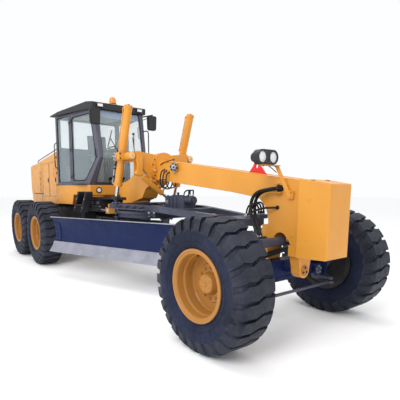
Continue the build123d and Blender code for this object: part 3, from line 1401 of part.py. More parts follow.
def work_lamps():
    """Two round lamps in one housing, on a flat arm that stands on the beam's right flank."""
    back, front = LAMP_X - 70, LAMP_X + 10
    right, left = LAMP_Y - LAMP_SPREAD, LAMP_Y + LAMP_SPREAD
    shape = block(back, front, right, left, LAMP_Z - LAMP_RADIUS, LAMP_Z + LAMP_RADIUS)
    for y in (right, left):
        shape += bar((back, y, LAMP_Z), (front, y, LAMP_Z), LAMP_RADIUS)
    for y in (right, left):
        shape += bar((back - 20, y, LAMP_Z), (back + 1, y, LAMP_Z), LENS_RADIUS)
        shape -= bar((front - 14, y, LAMP_Z), (front + 1, y, LAMP_Z), LENS_RADIUS)
    foot_x, foot_z = FRONT_AXLE_X + 240, 1500.0
    tab_z = LAMP_Z - LAMP_RADIUS
    arm_y = -BEAM_HALF - 20
    arm = [(back, tab_z), (back + 45, tab_z), (foot_x + 30, foot_z), (foot_x - 30, foot_z)]
    shape += side_plate(arm, arm_y - 12, arm_y)
    shape += block(back, front - 10, LAMP_Y - 60, arm_y, tab_z - 10, tab_z + 1)
    return shape + block(foot_x - 30, foot_x + 30, arm_y - 1, -BEAM_HALF - RUN_GAP, foot_z, foot_z + 80)


def lifting_lug():
    """Plate with a rounded eye that stands on the beam's top."""
    x0, x1 = 3250.0, 3510.0
    eye_x, eye_z = 3365.0, 1875.0
    end_x, end_z = FRONT_AXLE_X + 210, BLOCK_TOP_BACK + 5

    def top_at(x):
        return BEAM_TOP + (x - 2030) / (end_x - 2030) * (end_z - BEAM_TOP) + RUN_GAP

    outline = [(x0, top_at(x0)), (x1, top_at(x1)), (eye_x + 48, eye_z + 10), (eye_x - 48, eye_z + 10)]
    plate = side_plate(outline, -15, 15) + pin_y(eye_x, -15, 15, eye_z, 50)
    return plate - pin_y(eye_x, -30, 30, eye_z, 26)


def hose(points, bends, radius):
    """Round hose along straight runs with rounded bends."""
    path = FilletPolyline(*points, radius=bends)
    return sweep(Plane(origin=path @ 0, z_dir=path % 0) * Circle(radius), path=path)


def beam_hoses():
    """Two hoses that arch from the beam's flank down to the head's foot, and a thin one below them."""
    axle, flank = FRONT_AXLE_X, -BEAM_HALF
    shape = Part()
    for step in (0, 1):
        y = flank - 67 - step * 45
        points = [
            (axle + 100 - step * 30, flank + 1, 1610),
            (axle + 100 - step * 30, y, 1610),
            (axle - 190 - step * 20, y, 1560),
            (axle - 230 - step * 20, y, 1300),
            (axle - 110, y, 1080),
        ]
        shape += hose(points, (35, 90, 110), HOSE_RADIUS)
    y = flank - 40
    thin = [(axle + 60, flank + 1, 1400), (axle + 60, y, 1400)]
    thin += [(axle - 120, y - 60, 1390), (axle - 290, y - 60, 1310)]
    shape += hose(thin, (25, 60), THIN_HOSE_RADIUS)
    return shape & block(axle - 750, axle + 450, -600, flank - RUN_GAP, 900, 1800)


def build():
    """All pieces by name."""
    nodes = {
        "rear_chassis": rear_chassis(),
        "tandem_axle": tandem_axle(),
        "engine_block": engine_block(),
        "hood": hood(),
        "cab_base": cab_base(),
        "cab_frame": cab_frame(),
        "cab_roof": cab_roof(),
        "cab_glass": cab_glass(),
        "operator_seat": operator_seat(),
        "control_console": control_console(),
        "ladders": ladders(),
        "mirrors": mirrors(),
        "roof_lights": roof_lights(),
        "front_frame": front_frame(),
        "front_block": front_block(),
        "front_axle": front_axle(),
        "work_lamps": work_lamps(),
        "beam_hoses": beam_hoses(),
        "lifting_lug": lifting_lug(),
        "lean_bar": lean_bar(),
        "lean_cylinder_barrel": lean_cylinder_barrel(),
        "lean_cylinder_rod": lean_cylinder_rod(),
        "tie_rod_end": tie_rod_end(),
        "tie_rod": tie_rod(),
        "drawbar": drawbar(),
        "circle": circle(),
        "blade_carriage": blade_carriage(),
        "moldboard": moldboard(),
        "cutting_edge": cutting_edge(),
        "shift_barrel": shift_barrel(),
        "shift_rod": shift_rod(),
    }
    tyre, rim = tyre_body(), rim_body()
    for word, side in (("left", 1), ("right", -1)):
        nodes[f"door_{word}"] = door(side)
        nodes[f"door_pane_{word}"] = door_pane(side)
        nodes[f"lean_bracket_{word}"] = lean_bracket(side)
        nodes[f"knuckle_{word}"] = knuckle(side)
        nodes[f"lift_barrel_{word}"] = lift_barrel(side)
        nodes[f"lift_rod_{word}"] = lift_rod(side)
        nodes[f"articulation_barrel_{word}"] = articulation_barrel(side)
        nodes[f"articulation_rod_{word}"] = articulation_rod(side)
        for axle, axle_x in (("front", FRONT_AXLE_X), ("mid", MID_AXLE_X), ("rear", REAR_AXLE_X)):
            nodes[f"tyre_{axle}_{word}"] = at_wheel(tyre, axle_x, side)
            nodes[f"rim_{axle}_{word}"] = at_wheel(rim, axle_x, side)
    return nodes


os.makedirs("parts", exist_ok=True)
for name, shape in build().items():
    export_step(shape, f"parts/{name}.step")
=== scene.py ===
"""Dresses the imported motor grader: materials, tread, trim, hoses, seat and the studio."""

import json
import math

import bmesh
import bpy
from mathutils import Matrix, Vector


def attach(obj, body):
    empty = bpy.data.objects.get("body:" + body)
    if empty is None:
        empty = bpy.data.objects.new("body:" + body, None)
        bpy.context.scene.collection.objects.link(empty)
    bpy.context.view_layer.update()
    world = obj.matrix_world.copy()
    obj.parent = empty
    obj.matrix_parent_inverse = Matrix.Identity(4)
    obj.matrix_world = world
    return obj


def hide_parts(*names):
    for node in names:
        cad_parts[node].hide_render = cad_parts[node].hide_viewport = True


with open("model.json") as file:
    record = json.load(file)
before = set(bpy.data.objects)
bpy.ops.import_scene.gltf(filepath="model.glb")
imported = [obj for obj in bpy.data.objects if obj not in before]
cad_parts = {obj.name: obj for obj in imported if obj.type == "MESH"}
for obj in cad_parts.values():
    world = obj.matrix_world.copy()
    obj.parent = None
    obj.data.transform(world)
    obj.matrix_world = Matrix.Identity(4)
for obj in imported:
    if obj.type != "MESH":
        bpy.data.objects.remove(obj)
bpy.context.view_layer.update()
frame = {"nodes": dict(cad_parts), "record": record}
NODES = frame["nodes"]
SCENE = bpy.context.scene
SCENE.view_settings.view_transform = "Standard"

# Camera, solved from the wheels
CAMERA_PLACE = Vector((6.398, -3.418, 1.5885))
CAMERA_YAW = 2.5069
CAMERA_PITCH = -0.1361
FOCAL_PIXELS = 364.25
IMAGE_SIZE = 400
IMAGE_CENTRE = (178.03, 240.11)
SENSOR = 36.0

# Directions
X, Y, Z = Vector((1, 0, 0)), Vector((0, 1, 0)), Vector((0, 0, 1))
SIDES = (1, -1)
OUTBOARD = Matrix.Rotation(math.pi / 2, 4, "Y")

# Wheels, in metres
AXLES = (("front", 3.75), ("mid", -1.7), ("rear", -3.238))
TRACK_HALF = 1.078
AXLE_Z = 0.674
TREAD_FROM = 0.53
WALL_CENTRE, WALL_RADIUS = (-0.01286, 0.5), 0.23536
LUG_COUNT = 26
TIE_OFFSET, TIE_SLOPE, TIE_RADIUS = 0.014, 0.44, 0.65
SIDEWALL_RINGS = ((0.385, 0.003), (0.401, 0.0022), (0.438, 0.003))

# Cylinders and beam
LIFT_EYE = Vector((0.81, 0.6, 1.43))
LIFT_TOP = Vector((1.3, 0.6, 2.87))
TRUNNION_UP = 0.729
SHIFT_TOP = Vector((1.33, -0.47, 1.865))
SHIFT_EYE = Vector((1.33, 0.15, 1.42))
FLANK = -0.15
BEAM_LINE = ((1.6, 2.0355), (2.03, 1.98), (3.96, 1.705), (4.148, 1.679))
BEAM_UNDER = ((1.83, 1.71), (3.1, 1.57), (3.523, 1.507))
ARCH_CENTRE, ARCH_RADIUS = (3.86, 1.04), 0.092
BLOCK_REAR, BLOCK_LENGTH = 4.15, 0.3
LAMP_YS = (-0.468, -0.3)
LAMP_Z = 1.93

# Circle and blade
CIRCLE_AT = Matrix.Translation((1.1, 0, 0))
BLADE = CIRCLE_AT @ Matrix.Rotation(math.radians(-70), 4, "Z")
BLADE_CENTRE_X, BLADE_CENTRE_Z, BLADE_RADIUS = 1.0768, 0.805, 0.4618
BLADE_LEFT, BLADE_RIGHT = 1.78, -1.88
PLOUGH_BOLTS = 24

# Cab and hood
CAB_LENGTH, CAB_REAR_HALF, CAB_FRONT_HALF = 1.66, 0.75, 0.5
CAB_FLOOR, CAB_WAIST, CAB_TOP = 1.69, 2.2, 3.15
FOOT_BACK, TOP_BACK = 0.4, 0.18
SIDE_WINDOW = ((-1.6, 1.75), (-1.11, 1.75), (-1.11, 3.09), (-1.6, 3.09))
DOOR_PANE = ((-0.989, 1.781), (-0.531, 1.781), (-0.131, 2.2), (-0.311, 3.029), (-0.989, 3.029))
HOOD_FRONT, HOOD_LENGTH = -1.69, 2.36
HOOD_HALVES, HOOD_TOPS = (0.745, 0.61), (2.45, 2.27)
LOUVRE_X, LOUVRE_HALF = -3.29, 0.041
LOUVRE_ZS = (1.597, 1.737, 1.876, 2.026)

# Stuffed pads: how much smaller they start, and how they swell
PAD_SHRINK, PAD_EDGE, PAD_VOXEL = 0.03, 0.022, 0.009
PAD_PRESSURE, PAD_FRAMES, PAD_SWELL = 4.0, 20, 0.024

# Hoses: name, radius, length and the points of the CAD routes
BEAM_HOSES = (
    ("beam_hose_1", 0.019, 0.79, (
        (3.85, -0.15, 1.61), (3.85, -0.217, 1.61), (3.56, -0.217, 1.56),
        (3.52, -0.217, 1.3), (3.64, -0.217, 1.08),
    )),
    ("beam_hose_2", 0.019, 0.83, (
        (3.82, -0.15, 1.61), (3.82, -0.262, 1.61), (3.54, -0.262, 1.56),
        (3.5, -0.262, 1.3), (3.64, -0.262, 1.08),
    )),
    ("beam_hose_thin", 0.012, 0.4, (
        (3.81, -0.15, 1.4), (3.81, -0.19, 1.4), (3.63, -0.25, 1.39), (3.46, -0.25, 1.31),
    )),
)
SADDLE_HOSES = (
    ("saddle_hose_1", 0.01, 0.5, (
        (1.6, -0.15, 1.905), (1.61, -0.215, 1.9), (1.6, -0.24, 1.72),
        (1.6, -0.19, 1.62), (1.615, -0.09, 1.64), (1.62, -0.08, 1.733),
    )),
    ("saddle_hose_2", 0.01, 0.53, (
        (1.66, -0.15, 1.89), (1.672, -0.21, 1.885), (1.665, -0.236, 1.7),
        (1.66, -0.18, 1.6), (1.67, -0.06, 1.62), (1.675, -0.05, 1.727),
    )),
    ("saddle_hose_3", 0.01, 0.48, (
        (1.73, -0.15, 1.86), (1.742, -0.2, 1.855), (1.735, -0.222, 1.7),
        (1.73, -0.16, 1.61), (1.735, -0.03, 1.64), (1.74, -0.02, 1.72),
    )),
)
MOTOR_PORTS = ((2.175, -0.09, 1.492), (2.175, -0.03, 1.492))
BOX_PORTS = ((1.56, 0.06, 1.42), (1.56, 0.02, 1.38))
NOSE_HOSES = ((0.075, 0.43), (0.12, 0.445), (0.165, 0.46))


def add_camera():
    data = bpy.data.cameras.new("camera")
    data.sensor_width = SENSOR
    data.lens = FOCAL_PIXELS / IMAGE_SIZE * SENSOR
    data.shift_x = (IMAGE_SIZE / 2 - IMAGE_CENTRE[0]) / IMAGE_SIZE
    data.shift_y = (IMAGE_CENTRE[1] - IMAGE_SIZE / 2) / IMAGE_SIZE
    data.clip_start = 0.1
    data.clip_end = 100
    camera = bpy.data.objects.new("camera", data)
    SCENE.collection.objects.link(camera)
    ahead = Vector((
        math.cos(CAMERA_YAW) * math.cos(CAMERA_PITCH),
        math.sin(CAMERA_YAW) * math.cos(CAMERA_PITCH),
        math.sin(CAMERA_PITCH),
    ))
    turn = ahead.to_track_quat("-Z", "Y").to_matrix().to_4x4()
    camera.matrix_world = Matrix.Translation(CAMERA_PLACE) @ turn
    SCENE.camera = camera


def side_name(side):
    return "left" if side > 0 else "right"


def wheels():
    """Name, place along the machine and side of each wheel."""
    return [(f"{name}_{side_name(side)}", x, side) for name, x in AXLES for side in SIDES]


# Materials


def full(value):
    """Colour with alpha from a grey or three channels."""
    if isinstance(value, (int, float)):
        return (value, value, value, 1.0)
    return (*value, 1.0)


def scaled(colour, share):
    return tuple(c * share for c in colour)


class Shader:
    """Short ways to add nodes to a material."""

    def __init__(self, name):
        self.material = bpy.data.materials.new(name)
        self.material.use_nodes = True
        self.tree = self.material.node_tree
        self.main = self.tree.nodes["Principled BSDF"]
        self.place = self.tree.nodes.new("ShaderNodeTexCoord").outputs["Object"]

    def node(self, kind, **values):
        node = self.tree.nodes.new(kind)
        for key, value in values.items():
            if hasattr(node, key):
                setattr(node, key, value)
            else:
                node.inputs[key.replace("_", " ")].default_value = value
        return node

    def link(self, source, target):
        self.tree.links.new(source, target)

    def feed(self, name, source):
        """Links a source to a socket of the shader."""
        self.link(source, self.main.inputs[name])

    def even(self, **values):
        """Sets uniform values on the shader's own sockets."""
        for key, value in values.items():
            self.main.inputs[key.replace("_", " ")].default_value = value

    def noise(self, scale, detail=4.0, stretch=(1, 1, 1)):
        source = self.place
        if stretch != (1, 1, 1):
            mapping = self.node("ShaderNodeMapping")
            mapping.inputs["Scale"].default_value = stretch
            self.link(source, mapping.inputs["Vector"])
            source = mapping.outputs["Vector"]
        noise = self.node("ShaderNodeTexNoise", Scale=scale, Detail=detail)
        self.link(source, noise.inputs["Vector"])
        return noise.outputs["Fac"]

    def waves(self, **values):
        wave = self.node("ShaderNodeTexWave", **values)
        self.link(self.place, wave.inputs["Vector"])
        return wave.outputs["Fac"]

    def height(self, low, high):
        """Rises from 0 to 1 between two heights above the ground."""
        split = self.node("ShaderNodeSeparateXYZ")
        self.link(self.place, split.inputs["Vector"])
        span = self.node("ShaderNodeMapRange", From_Min=low, From_Max=high)
        self.link(split.outputs["Z"], span.inputs["Value"])
        return span.outputs["Result"]

    def ramp(self, source, low, high, start=0.3, end=0.7):
        """Colour or grey between two values as a source rises."""
        ramp = self.node("ShaderNodeValToRGB")
        first, last = ramp.color_ramp.elements
        first.position, last.position = start, end
        first.color, last.color = full(low), full(high)
        self.link(source, ramp.inputs["Fac"])
        return ramp.outputs["Color"]

    def mix(self, share, first, second):
        mix = self.node("ShaderNodeMix", data_type="RGBA")
        self.link(share, mix.inputs["Factor"])
        for socket, value in ((mix.inputs["A"], first), (mix.inputs["B"], second)):
            if isinstance(value, tuple):
                socket.default_value = full(value)
            else:
                self.link(value, socket)
        return mix.outputs["Result"]

    def bump(self, source, strength, distance):
        bump = self.node("ShaderNodeBump", Strength=strength, Distance=distance)
        self.link(source, bump.inputs["Height"])
        self.feed("Normal", bump.outputs["Normal"])


def paint(name, colour, rough=0.35, coat=0.3, dirt=0.12, dust=(0.3, 0.25, 0.19), shine=0.5):
    """Sprayed paint: a faint mottle, dust in patches and low down, and orange peel."""
    s = Shader(name)
    base = s.ramp(s.noise(1.7), scaled(colour, 0.88), colour, 0.25, 0.6)
    patches = s.ramp(s.noise(6.0, 8.0, (1, 1, 2)), 0.0, dirt, 0.5, 0.8)
    base = s.mix(patches, base, dust)
    low = s.ramp(s.height(0.0, 1.6), dirt * 0.9, 0.0, 0.1, 0.9)
    s.feed("Base Color", s.mix(low, base, dust))
    s.feed("Roughness", s.ramp(s.noise(9.0, 6.0), rough * 0.8, min(rough * 1.5, 1.0)))
    s.even(Coat_Weight=coat, Coat_Roughness=0.15, Specular_IOR_Level=shine)
    s.bump(s.noise(160.0, 2.0), 0.05, 0.0008)
    return s.material


def metal(name, colour, rough=0.3, brushed=(1, 1, 1), metallic=1.0):
    s = Shader(name)
    s.even(Metallic=metallic)
    s.feed("Base Color", s.ramp(s.noise(5.0, 6.0), scaled(colour, 0.72), colour))
    s.feed("Roughness", s.ramp(s.noise(60.0, 4.0, brushed), rough * 0.7, min(rough * 1.5, 1.0)))
    s.bump(s.noise(120.0, 4.0, brushed), 0.08, 0.0006)
    return s.material


def rubber(name, colour, rough=0.75, dust=0.25, dust_colour=(0.1, 0.1, 0.105)):
    s = Shader(name)
    pale = tuple(c * 2.0 + 0.006 for c in colour)
    base = s.ramp(s.noise(3.0, 6.0), colour, pale, 0.35, 0.75)
    grime = s.ramp(s.noise(14.0, 8.0), 0.0, dust, 0.5, 0.8)
    s.feed("Base Color", s.mix(grime, base, dust_colour))
    s.feed("Roughness", s.ramp(s.noise(22.0, 5.0), rough * 0.8, min(rough * 1.2, 1.0)))
    s.even(Specular_IOR_Level=0.22)
    s.bump(s.noise(220.0, 3.0), 0.25, 0.0015)
    return s.material


def plastic(name, colour, rough=0.5):
    s = Shader(name)
    s.feed("Base Color", s.ramp(s.noise(4.0), scaled(colour, 0.8), colour))
    s.feed("Roughness", s.ramp(s.noise(30.0), rough * 0.85, min(rough * 1.2, 1.0)))
    s.bump(s.noise(380.0, 2.0), 0.15, 0.0006)
    return s.material


def glass(name, tint, alpha, ribs=0.0):
    """Glazing, or a lamp's lens with ribs."""
    s = Shader(name)
    s.feed("Base Color", s.ramp(s.noise(2.0), scaled(tint, 0.9), tint))
    s.even(Roughness=0.05, Alpha=alpha, Specular_IOR_Level=0.6)
    if ribs:
        s.bump(s.waves(Scale=ribs, bands_direction="Y"), 0.5, 0.002)
    return s.material


def fabric(name, colour):
    s = Shader(name)
    weave = s.waves(Scale=130.0, Distortion=1.0)
    s.feed("Base Color", s.ramp(weave, scaled(colour, 0.7), colour))
    s.even(Roughness=0.9, Sheen_Weight=0.25)
    s.bump(weave, 0.2, 0.001)
    return s.material


YELLOW = (0.68, 0.285, 0.03)
BODY, CREAM, RIM, DARK, BLUE = "body_paint", "cream_paint", "rim_paint", "dark_paint", "blade_paint"
BLACK, STEEL, WELD, AMBER = "black_metal", "bare_steel", "weld_bead", "amber_lens"
TRIM, GREY, SEAL = "trim_plastic", "grey_plastic", "seal_rubber"
LOOKS = (
    (paint, BODY, YELLOW, 0.4, 0.15, 0.1, (0.46, 0.27, 0.1), 0.4),
    (paint, CREAM, (0.74, 0.48, 0.22), 0.42, 0.2, 0.1),
    # rim_paint is the body yellow darkened to about 0.6, painted shade for the shadowed dishes of the
    # wheels
    (paint, RIM, (0.4, 0.175, 0.03), 0.45, 0.1, 0.2, (0.24, 0.12, 0.05), 0.3),
    (paint, DARK, (0.042, 0.045, 0.075), 0.45, 0.08, 0.4, (0.12, 0.125, 0.16), 0.3),
    (paint, BLUE, (0.007, 0.016, 0.072), 0.42, 0.03, 0.18, (0.04, 0.045, 0.085), 0.12),
    (paint, BLACK, (0.012, 0.012, 0.015), 0.5, 0.05, 0.25, (0.06, 0.058, 0.058), 0.25),
    (paint, "red_paint", (0.62, 0.01, 0.01), 0.35, 0.2, 0.05),
    (paint, WELD, (0.58, 0.24, 0.03), 0.55, 0.0, 0.3, (0.3, 0.16, 0.06)),
    (paint, "louvre_shade", (0.2, 0.085, 0.018), 0.55, 0.0, 0.2, (0.1, 0.06, 0.03), 0.2),
    (metal, "wear_steel", (0.36, 0.365, 0.43), 0.46, (1, 1, 6), 0.6),
    (metal, STEEL, (0.5, 0.51, 0.56), 0.32, (1, 1, 5)),
    (metal, "chrome_rod", (0.62, 0.63, 0.67), 0.14),
    (metal, "mirror_face", (0.8, 0.82, 0.85), 0.05),
    (rubber, "tyre_rubber", (0.004, 0.007, 0.022), 0.66, 0.18, (0.022, 0.027, 0.055)),
    (rubber, "tread_rubber", (0.011, 0.013, 0.022), 0.58, 0.35, (0.065, 0.068, 0.085)),
    (rubber, "hose_rubber", (0.007, 0.007, 0.008), 0.45, 0.1),
    (rubber, SEAL, (0.006, 0.006, 0.007), 0.65, 0.15),
    (paint, "cab_grey", (0.085, 0.085, 0.115), 0.45, 0.1, 0.1, (0.16, 0.16, 0.18), 0.35),
    (glass, "window_glass", (0.62, 0.76, 0.8), 0.16),
    (glass, "tint_band", (0.16, 0.24, 0.42), 0.8),
    (fabric, "seat_cover", (0.03, 0.03, 0.035)),
    (plastic, TRIM, (0.013, 0.013, 0.015)),
    (plastic, GREY, (0.1, 0.1, 0.12), 0.45),
    (glass, "lamp_lens", (0.86, 0.87, 0.95), 0.92, 60.0),
    (glass, AMBER, (0.8, 0.27, 0.03), 0.92, 45.0),
    (glass, "red_lens", (0.6, 0.02, 0.02), 0.95, 45.0),
)
MATERIALS = {name: kind(name, *values) for kind, name, *values in LOOKS}
NODE_SLOTS = {entry["node"]: entry["material_slot"] for entry in frame["record"]["subparts"]}


def repaint(name, material, wanted):
    """Gives a further material to the faces of a node whose centre and normal pass a test."""
    node = NODES[name]
    node.data.materials.append(MATERIALS[material])
    last = len(node.data.materials) - 1
    for face in node.data.polygons:
        if wanted(face.center, face.normal):
            face.material_index = last


def in_louvre(place, normal):
    """Faces sunk in the hood's four louvres on each side."""
    sunk = abs(place.y) < hood_half(place.x) - 0.002 and abs(place.y) > 0.5
    level = min(abs(place.z - z) for z in LOUVRE_ZS) < 0.036
    return sunk and level and abs(place.x - LOUVRE_X) < LOUVRE_HALF


def dress_nodes():
    for name, node in NODES.items():
        material = MATERIALS[NODE_SLOTS[name]]
        # Rims take the darkened rim paint, painted shade of the wheels' dishes.
        if name.startswith("rim_"):
            material = MATERIALS[RIM]
        if name == "cab_roof":
            material = MATERIALS[TRIM]
        node.data.materials.clear()
        node.data.materials.append(material)
        for face in node.data.polygons:
            face.material_index = 0
    for wheel, x, side in wheels():
        repaint("tyre_" + wheel, "tread_rubber",
                lambda place, normal: math.hypot(place.x - x, place.z - AXLE_Z) > TREAD_FROM)
        # Painted shade: the rims' inboard faces, yellow on the real wheels, get black paint for the shade
        # inside the wheels.
        repaint("rim_" + wheel, BLACK, lambda place, normal: abs(place.y) < TRACK_HALF - 0.1)
    # Painted highlight: the roof's up-facing faces and its top get pale cream paint for the bright light
    # falling on the roof.
    repaint("cab_roof", CREAM, lambda place, normal: normal.z > 0.2 or place.z > 3.21)
    repaint("hood", "louvre_shade", in_louvre)
    repaint("hood", BLACK,
            lambda place, normal: place.x > -4.1 and place.z > hood_top(place.x) + 0.006)
    repaint("work_lamps", BODY, lambda place, normal: place.z < 1.853)
    repaint("roof_lights", AMBER, lambda place, normal: place.z > 3.262)
    repaint("roof_lights", TRIM, lambda place, normal: place.z < 3.262 and normal.x < 0.9)
    # Painted highlight: the moldboard's up-facing top faces get lighter bare steel for the bright line of
    # light along its top edge.
    repaint("moldboard", STEEL, lambda place, normal: normal.z > 0.9 and place.z > 1.1)
    # Painted shade: the lower ends of the chrome lift rods get black paint to stand in for the shade over
    # them.
    for side in ("left", "right"):
        repaint("lift_rod_" + side, BLACK, lambda place, normal: place.z < 1.53)


# Shapes: points and faces about their own origin


def strip(low, high):
    """Faces between two rings of points, either of which may be one point."""
    count = max(len(low), len(high))
    faces = []
    for i in range(count):
        j = (i + 1) % count
        corners = (low[i % len(low)], low[j % len(low)], high[j % len(high)], high[i % len(high)])
        faces.append(list(dict.fromkeys(corners)))
    return faces


def lathe(profile, sides=24, closed=False):
    """Turned about Z from points of height and radius."""
    points, rings = [], []
    for height, radius in profile:
        count = sides if radius > 0 else 1
        rings.append([len(points) + i for i in range(count)])
        for i in range(count):
            turn = 2 * math.pi * i / sides
            points.append((radius * math.cos(turn), radius * math.sin(turn), height))
    faces = []
    for low, high in zip(rings, rings[1:] + rings[:1] if closed else rings[1:]):
        faces += strip(low, high)
    return points, faces


def drum(radius, low, high, edge=0.003, sides=32):
    """Short cylinder with chamfered rims."""
    profile = [(low, 0), (low, radius - edge), (low + edge, radius)]
    profile += [(high - edge, radius), (high, radius - edge), (high, 0)]
    return lathe(profile, sides)


def ring(radius, thick, sides=64, height=0.0, steps=8):
    """Round ring about Z."""
    profile = []
    for i in range(steps):
        turn = 2 * math.pi * i / steps
        profile.append((height + thick * math.sin(turn), radius + thick * math.cos(turn)))
    return lathe(profile, sides, closed=True)


def slab(outline, low, high):
    """Outline in x and y, from low up to high."""
    count = len(outline)
    bottom, top = list(range(count)), list(range(count, 2 * count))
    points = [(x, y, z) for z in (low, high) for x, y in outline]
    return points, [bottom[::-1], top] + strip(bottom, top)


def box(x, y, z, edge=0.004):
    """Box of these sides about its middle, its edges chamfered."""
    half = (x / 2, y / 2, z / 2)
    edge = min(edge, min(half) * 0.6)
    shape = bmesh.new()
    for signs in [(sx, sy, sz) for sx in (-1, 1) for sy in (-1, 1) for sz in (-1, 1)]:
        for axis in range(3):
            corner = [s * (h - edge) for s, h in zip(signs, half)]
            corner[axis] = signs[axis] * half[axis]
            shape.verts.new(corner)
    bmesh.ops.convex_hull(shape, input=shape.verts)
    bmesh.ops.dissolve_limit(shape, angle_limit=0.01, verts=shape.verts, edges=shape.edges)
    shape.verts.index_update()
    result = [tuple(v.co) for v in shape.verts], [[v.index for v in f.verts] for f in shape.faces]
    shape.free()
    return result


def bend_at(before, corner, after, reach, steps):
    """Points of a rounded corner."""
    start = corner + (before - corner).normalized() * reach
    end = corner + (after - corner).normalized() * reach
    for i in range(steps + 1):
        t = i / steps
        yield start * (1 - t) ** 2 + corner * 2 * t * (1 - t) + end * t * t


def rounded(points, bend, steps=6):
    """Path through points whose corners are rounded off."""
    line = [Vector(p) for p in points]
    path = [line[0]]
    for before, corner, after in zip(line, line[1:], line[2:]):
        reach = min(bend, (corner - before).length * 0.48, (after - corner).length * 0.48)
        path += bend_at(before, corner, after, reach, steps)
    return path + [line[-1]]


def rounded_loop(points, bend, steps=5):
    """Closed path with rounded corners."""
    line = [Vector(p) for p in points]
    path = []
    for before, corner, after in zip(line[-1:] + line, line, line[1:] + line[:1]):
        reach = min(bend, (corner - before).length * 0.45, (after - corner).length * 0.45)
        path += bend_at(before, corner, after, reach, steps)
    return path


def pipe(path, radius, sides=12, closed=False):
    """Round tube along a path, its ends closed."""
    line = [Vector(p) for p in path]
    count = len(line)
    normal = None
    points, rings = [], []
    for i, place in enumerate(line):
        ahead = line[(i + 1) % count] - place if closed or i + 1 < count else place - line[i - 1]
        behind = place - line[i - 1] if closed or i > 0 else ahead
        along = (ahead.normalized() + behind.normalized()).normalized()
        if normal is None:
            normal = along.orthogonal().normalized()
        normal = (normal - along * normal.dot(along)).normalized()
        across = along.cross(normal)
        rings.append([len(points) + step for step in range(sides)])
        for step in range(sides):
            turn = 2 * math.pi * step / sides
            points.append(tuple(place + radius * (math.cos(turn) * normal + math.sin(turn) * across)))
    faces = []
    for low, high in zip(rings, rings[1:] + rings[:1] if closed else rings[1:]):
        faces += strip(low, high)
    if not closed:
        faces += [rings[0][::-1], rings[-1]]
    return points, faces


def join(*shapes):
    points, faces = [], []
    for more, sides in shapes:
        first = len(points)
        points += more
        faces += [[first + i for i in face] for face in sides]
    return points, faces


def bolt(radius):
    """Washer with a chamfered six-sided head, standing on z = 0."""
    r = radius
    washer = [(-0.001, 0), (-0.001, 1.5 * r), (0.2 * r, 1.5 * r), (0.28 * r, 1.4 * r), (0.28 * r, 0)]
    head = [(0.2 * r, 0), (0.2 * r, 1.1 * r), (0.95 * r, 1.1 * r), (1.1 * r, 0.92 * r), (1.1 * r, 0)]
    return join(lathe(washer, 14), lathe(head, 6))


def fitting(radius):
    """Hose end: two hexagons and a collar, along Z from 0."""
    r = radius
    nut = lathe([(0, 0), (0, 1.35 * r), (1.4 * r, 1.35 * r), (1.4 * r, 0)], 6)
    collar = drum(1.15 * r, 1.3 * r, 3.4 * r, 0.15 * r, 16)
    second = lathe([(1.9 * r, 0), (1.9 * r, 1.3 * r), (2.5 * r, 1.3 * r), (2.5 * r, 0)], 6)
    return join(nut, collar, second)


def at(place, facing=Z, spin=0.0):
    """Stands a shape at a place with its Z towards facing."""
    turn = Vector(facing).to_track_quat("Z", "Y").to_matrix().to_4x4()
    return Matrix.Translation(place) @ turn @ Matrix.Rotation(spin, 4, "Z")


def moved(x, y, z):
    return Matrix.Translation((x, y, z))


def around(count, radius, start=0.0):
    """Points of x and y on a circle."""
    for i in range(count):
        turn = start + 2 * math.pi * i / count
        yield radius * math.cos(turn), radius * math.sin(turn)


def bowed(points, out):
    """Path of four points whose middle two stand off, as on a handle."""
    return [points[0], points[1] + out, points[2] + out, points[3]]


